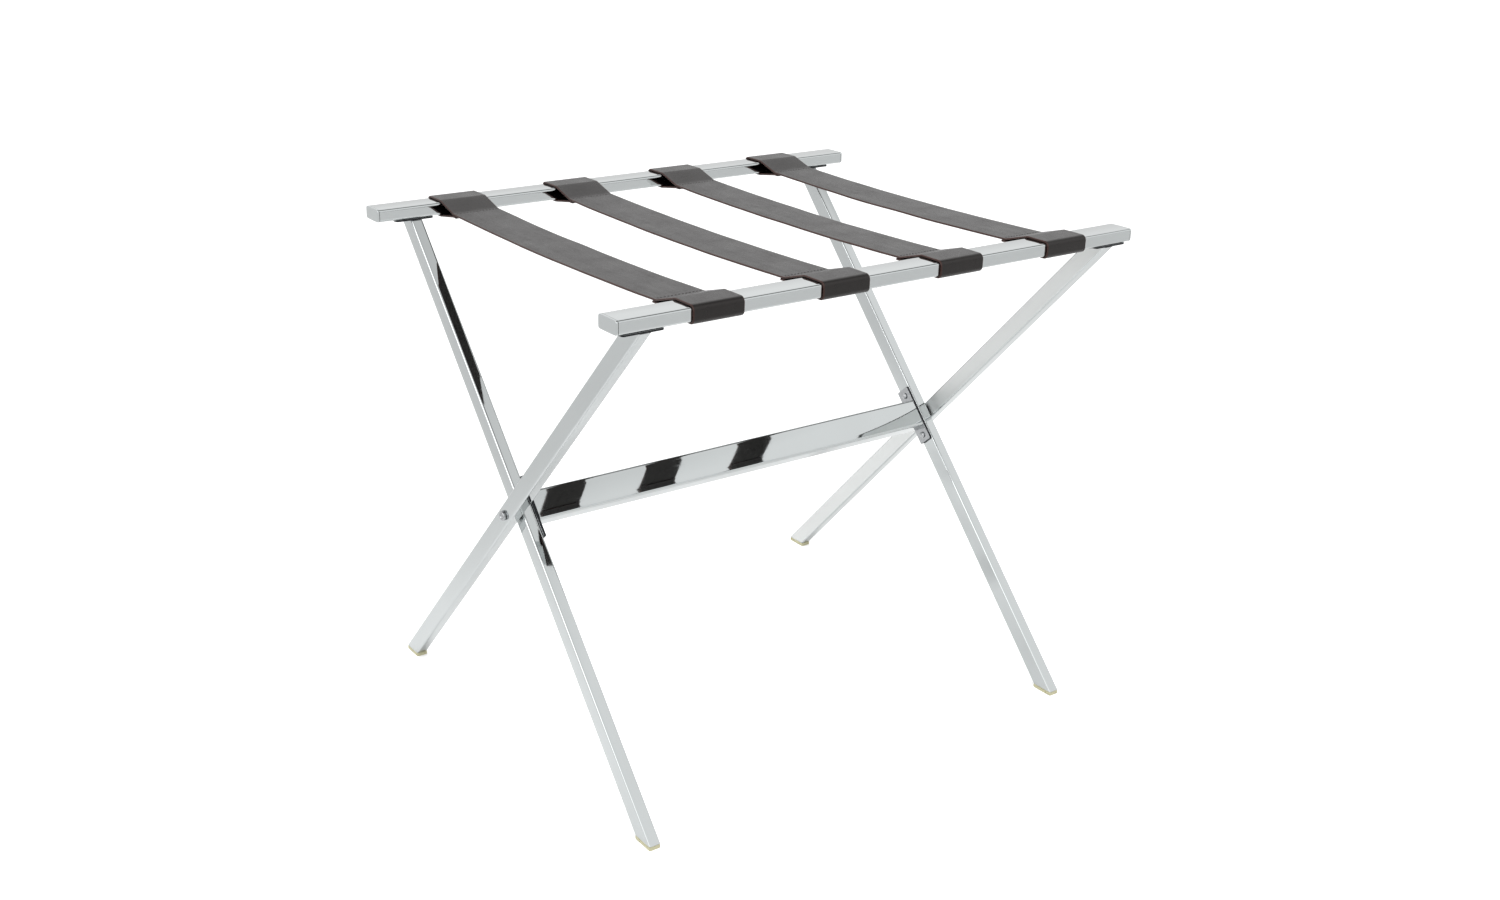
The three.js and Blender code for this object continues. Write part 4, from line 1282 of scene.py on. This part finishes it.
def studio_world(scene):
    """Plain white surroundings. Reflections see levels, a dim slot overhead and bright boxes."""
    world = bpy.data.worlds.new("studio")
    world.use_nodes = True
    scene.world = world
    build = Tree(world.node_tree)
    background = world.node_tree.nodes["Background"]
    direction = build.node("ShaderNodeTexCoord").outputs["Generated"]
    split = build.node("ShaderNodeSeparateXYZ", {0: direction}).outputs
    ramp = build.node("ShaderNodeValToRGB", {"Fac": split["Z"]})
    while len(ramp.color_ramp.elements) < len(REFLECTED_LEVELS):
        ramp.color_ramp.elements.new(0.5)
    for element, (position, level) in zip(ramp.color_ramp.elements, REFLECTED_LEVELS):
        element.position = position
        element.color = (level, level, level, 1)
    away = build.math("ABSOLUTE", split["Y"])
    beside = build.node("ShaderNodeMapRange", {"Value": away, 1: 0.20, 2: 0.30, 3: 1.0, 4: 0.0})
    above = build.node("ShaderNodeMapRange", {"Value": split["Z"], 1: 0.58, 2: 0.70})
    slot = build.math("MULTIPLY", beside.outputs[0], above.outputs[0])
    kept = build.math("MULTIPLY_ADD", slot, -SLOT_DIMMING)
    kept.node.inputs[2].default_value = 1.0
    dimmed = build.node("ShaderNodeVectorMath", {0: ramp.outputs[0]}, operation="SCALE")
    build.link(kept, dimmed.inputs["Scale"])
    lit = dimmed
    for middle_of_box, inner, outer, level in REFLECTED_BOXES:
        toward = build.node("ShaderNodeVectorMath", {0: direction, 1: middle_of_box},
                            operation="DOT_PRODUCT")
        box = build.node("ShaderNodeMapRange", {
            "Value": toward.outputs["Value"], 1: outer, 2: inner, 3: 0.0, 4: level})
        lit = build.node("ShaderNodeVectorMath", {0: lit.outputs[0], 1: box.outputs[0]})
    rays = build.node("ShaderNodeLightPath").outputs
    plain = build.math("MAXIMUM", rays["Is Camera Ray"], rays["Is Diffuse Ray"])
    mixed = build.node("ShaderNodeMix", {"Factor": plain}, data_type="RGBA")
    build.link(lit.outputs[0], mixed.inputs[6])
    mixed.inputs[7].default_value = opaque([SURROUNDINGS] * 3)
    build.link(mixed.outputs[2], background.inputs["Color"])


def add_camera(scene, studio):
    data = bpy.data.cameras.new("camera")
    camera = bpy.data.objects.new("camera", data)
    scene.collection.objects.link(camera)
    data.lens, data.sensor_width = studio.lens, 36
    data.shift_x, data.shift_y = studio.shift
    data.clip_start, data.clip_end = 0.05, 60
    azimuth, elevation = studio.azimuth, studio.elevation
    back = Vector((math.sin(azimuth) * math.cos(elevation),
                   -math.cos(azimuth) * math.cos(elevation), math.sin(elevation)))
    camera.location = studio.place
    camera.rotation_mode = "QUATERNION"
    camera.rotation_quaternion = (-back).to_track_quat("-Z", "Y") @ Quaternion((0, 0, 1), studio.roll)
    scene.camera = camera


def add_soft_spot(scene, name, place, target, radius, cone, power):
    """Spot lamp with soft shadows that isn't itself seen or reflected."""
    light = bpy.data.lights.new(name, "SPOT")
    light.shadow_soft_size, light.energy = radius, power
    light.spot_size, light.spot_blend = cone, 1.0
    lamp = bpy.data.objects.new(name, light)
    scene.collection.objects.link(lamp)
    lamp.location = place
    lamp.rotation_mode = "QUATERNION"
    lamp.rotation_quaternion = (Vector(target) - Vector(place)).to_track_quat("-Z", "Y")
    lamp.visible_camera = False
    lamp.visible_glossy = False


@material_recipe
def studio_floor(build, shader, colours):
    place = object_vector(build)
    mottle = build.node("ShaderNodeTexNoise", {"Vector": place, "Scale": 6.0, "Detail": 4.0})
    pale = bpy.context.scene.rack_studio.floor
    build.link(tint(build, mottle.outputs[0], [0.985 * c for c in pale], pale),
               shader.inputs["Base Color"])
    shader.inputs["Roughness"].default_value = 0.9
    shader.inputs["Specular IOR Level"].default_value = 0.1
    seen = build.node("ShaderNodeLightPath").outputs["Is Camera Ray"]
    build.link(build.math("MULTIPLY", seen, FLOOR_GLOW), shader.inputs["Emission Strength"])


class RACK_OT_stage(bpy.types.Operator):
    """Set the pale floor, the soft light and the camera"""
    bl_idname = "luggage_rack.stage"
    bl_label = "Studio"

    def execute(self, context):
        scene, studio = context.scene, context.scene.rack_studio
        scene.view_settings.view_transform = "Standard"
        studio_world(scene)
        add_camera(scene, studio)
        reach = 40.0
        mesh = bpy.data.meshes.new("floor")
        corners = [(-reach, -reach, 0), (reach, -reach, 0), (reach, reach, 0), (-reach, reach, 0)]
        mesh.from_pydata(corners, [], [(0, 1, 2, 3)])
        mesh.materials.append(material("studio_floor"))
        floor = bpy.data.objects.new("floor", mesh)
        scene.collection.objects.link(floor)
        add_soft_spot(scene, "overhead", place=(-0.4, -0.3, 2.4), target=(0.05, 0, 0),
                      radius=0.35, cone=math.radians(42), power=170)
        return {"FINISHED"}


# ---- add-on ----

class RACK_PT_panel(bpy.types.Panel):
    """Sidebar panel that lists the building steps and the settings"""
    bl_label = "Luggage Rack"
    bl_idname = "RACK_PT_panel"
    bl_space_type = "VIEW_3D"
    bl_region_type = "UI"
    bl_category = "Luggage Rack"

    def draw(self, context):
        for step in STEPS:
            self.layout.operator(step.bl_idname)
        for name, group_type in SETTINGS:
            box = self.layout.box()
            for key in group_type.__annotations__:
                box.prop(getattr(context.scene, name), key)


STEPS = (RACK_OT_stage, RACK_OT_rails, RACK_OT_legs, RACK_OT_pivots, RACK_OT_stretcher,
         RACK_OT_screws, RACK_OT_belts)


def register():
    for name, group_type in SETTINGS:
        bpy.utils.register_class(group_type)
        setattr(bpy.types.Scene, name, bpy.props.PointerProperty(type=group_type))
    for step in (*STEPS, RACK_PT_panel):
        bpy.utils.register_class(step)


def unregister():
    for step in reversed((*STEPS, RACK_PT_panel)):
        bpy.utils.unregister_class(step)
    for name, group_type in reversed(SETTINGS):
        delattr(bpy.types.Scene, name)
        bpy.utils.unregister_class(group_type)


def main():
    register()
    bpy.ops.luggage_rack.stage()
    bpy.ops.luggage_rack.rails()
    bpy.ops.luggage_rack.legs()
    bpy.ops.luggage_rack.pivots()
    bpy.ops.luggage_rack.stretcher()
    bpy.ops.luggage_rack.screws()
    bpy.ops.luggage_rack.belts()


if __name__ == "__main__":
    main()
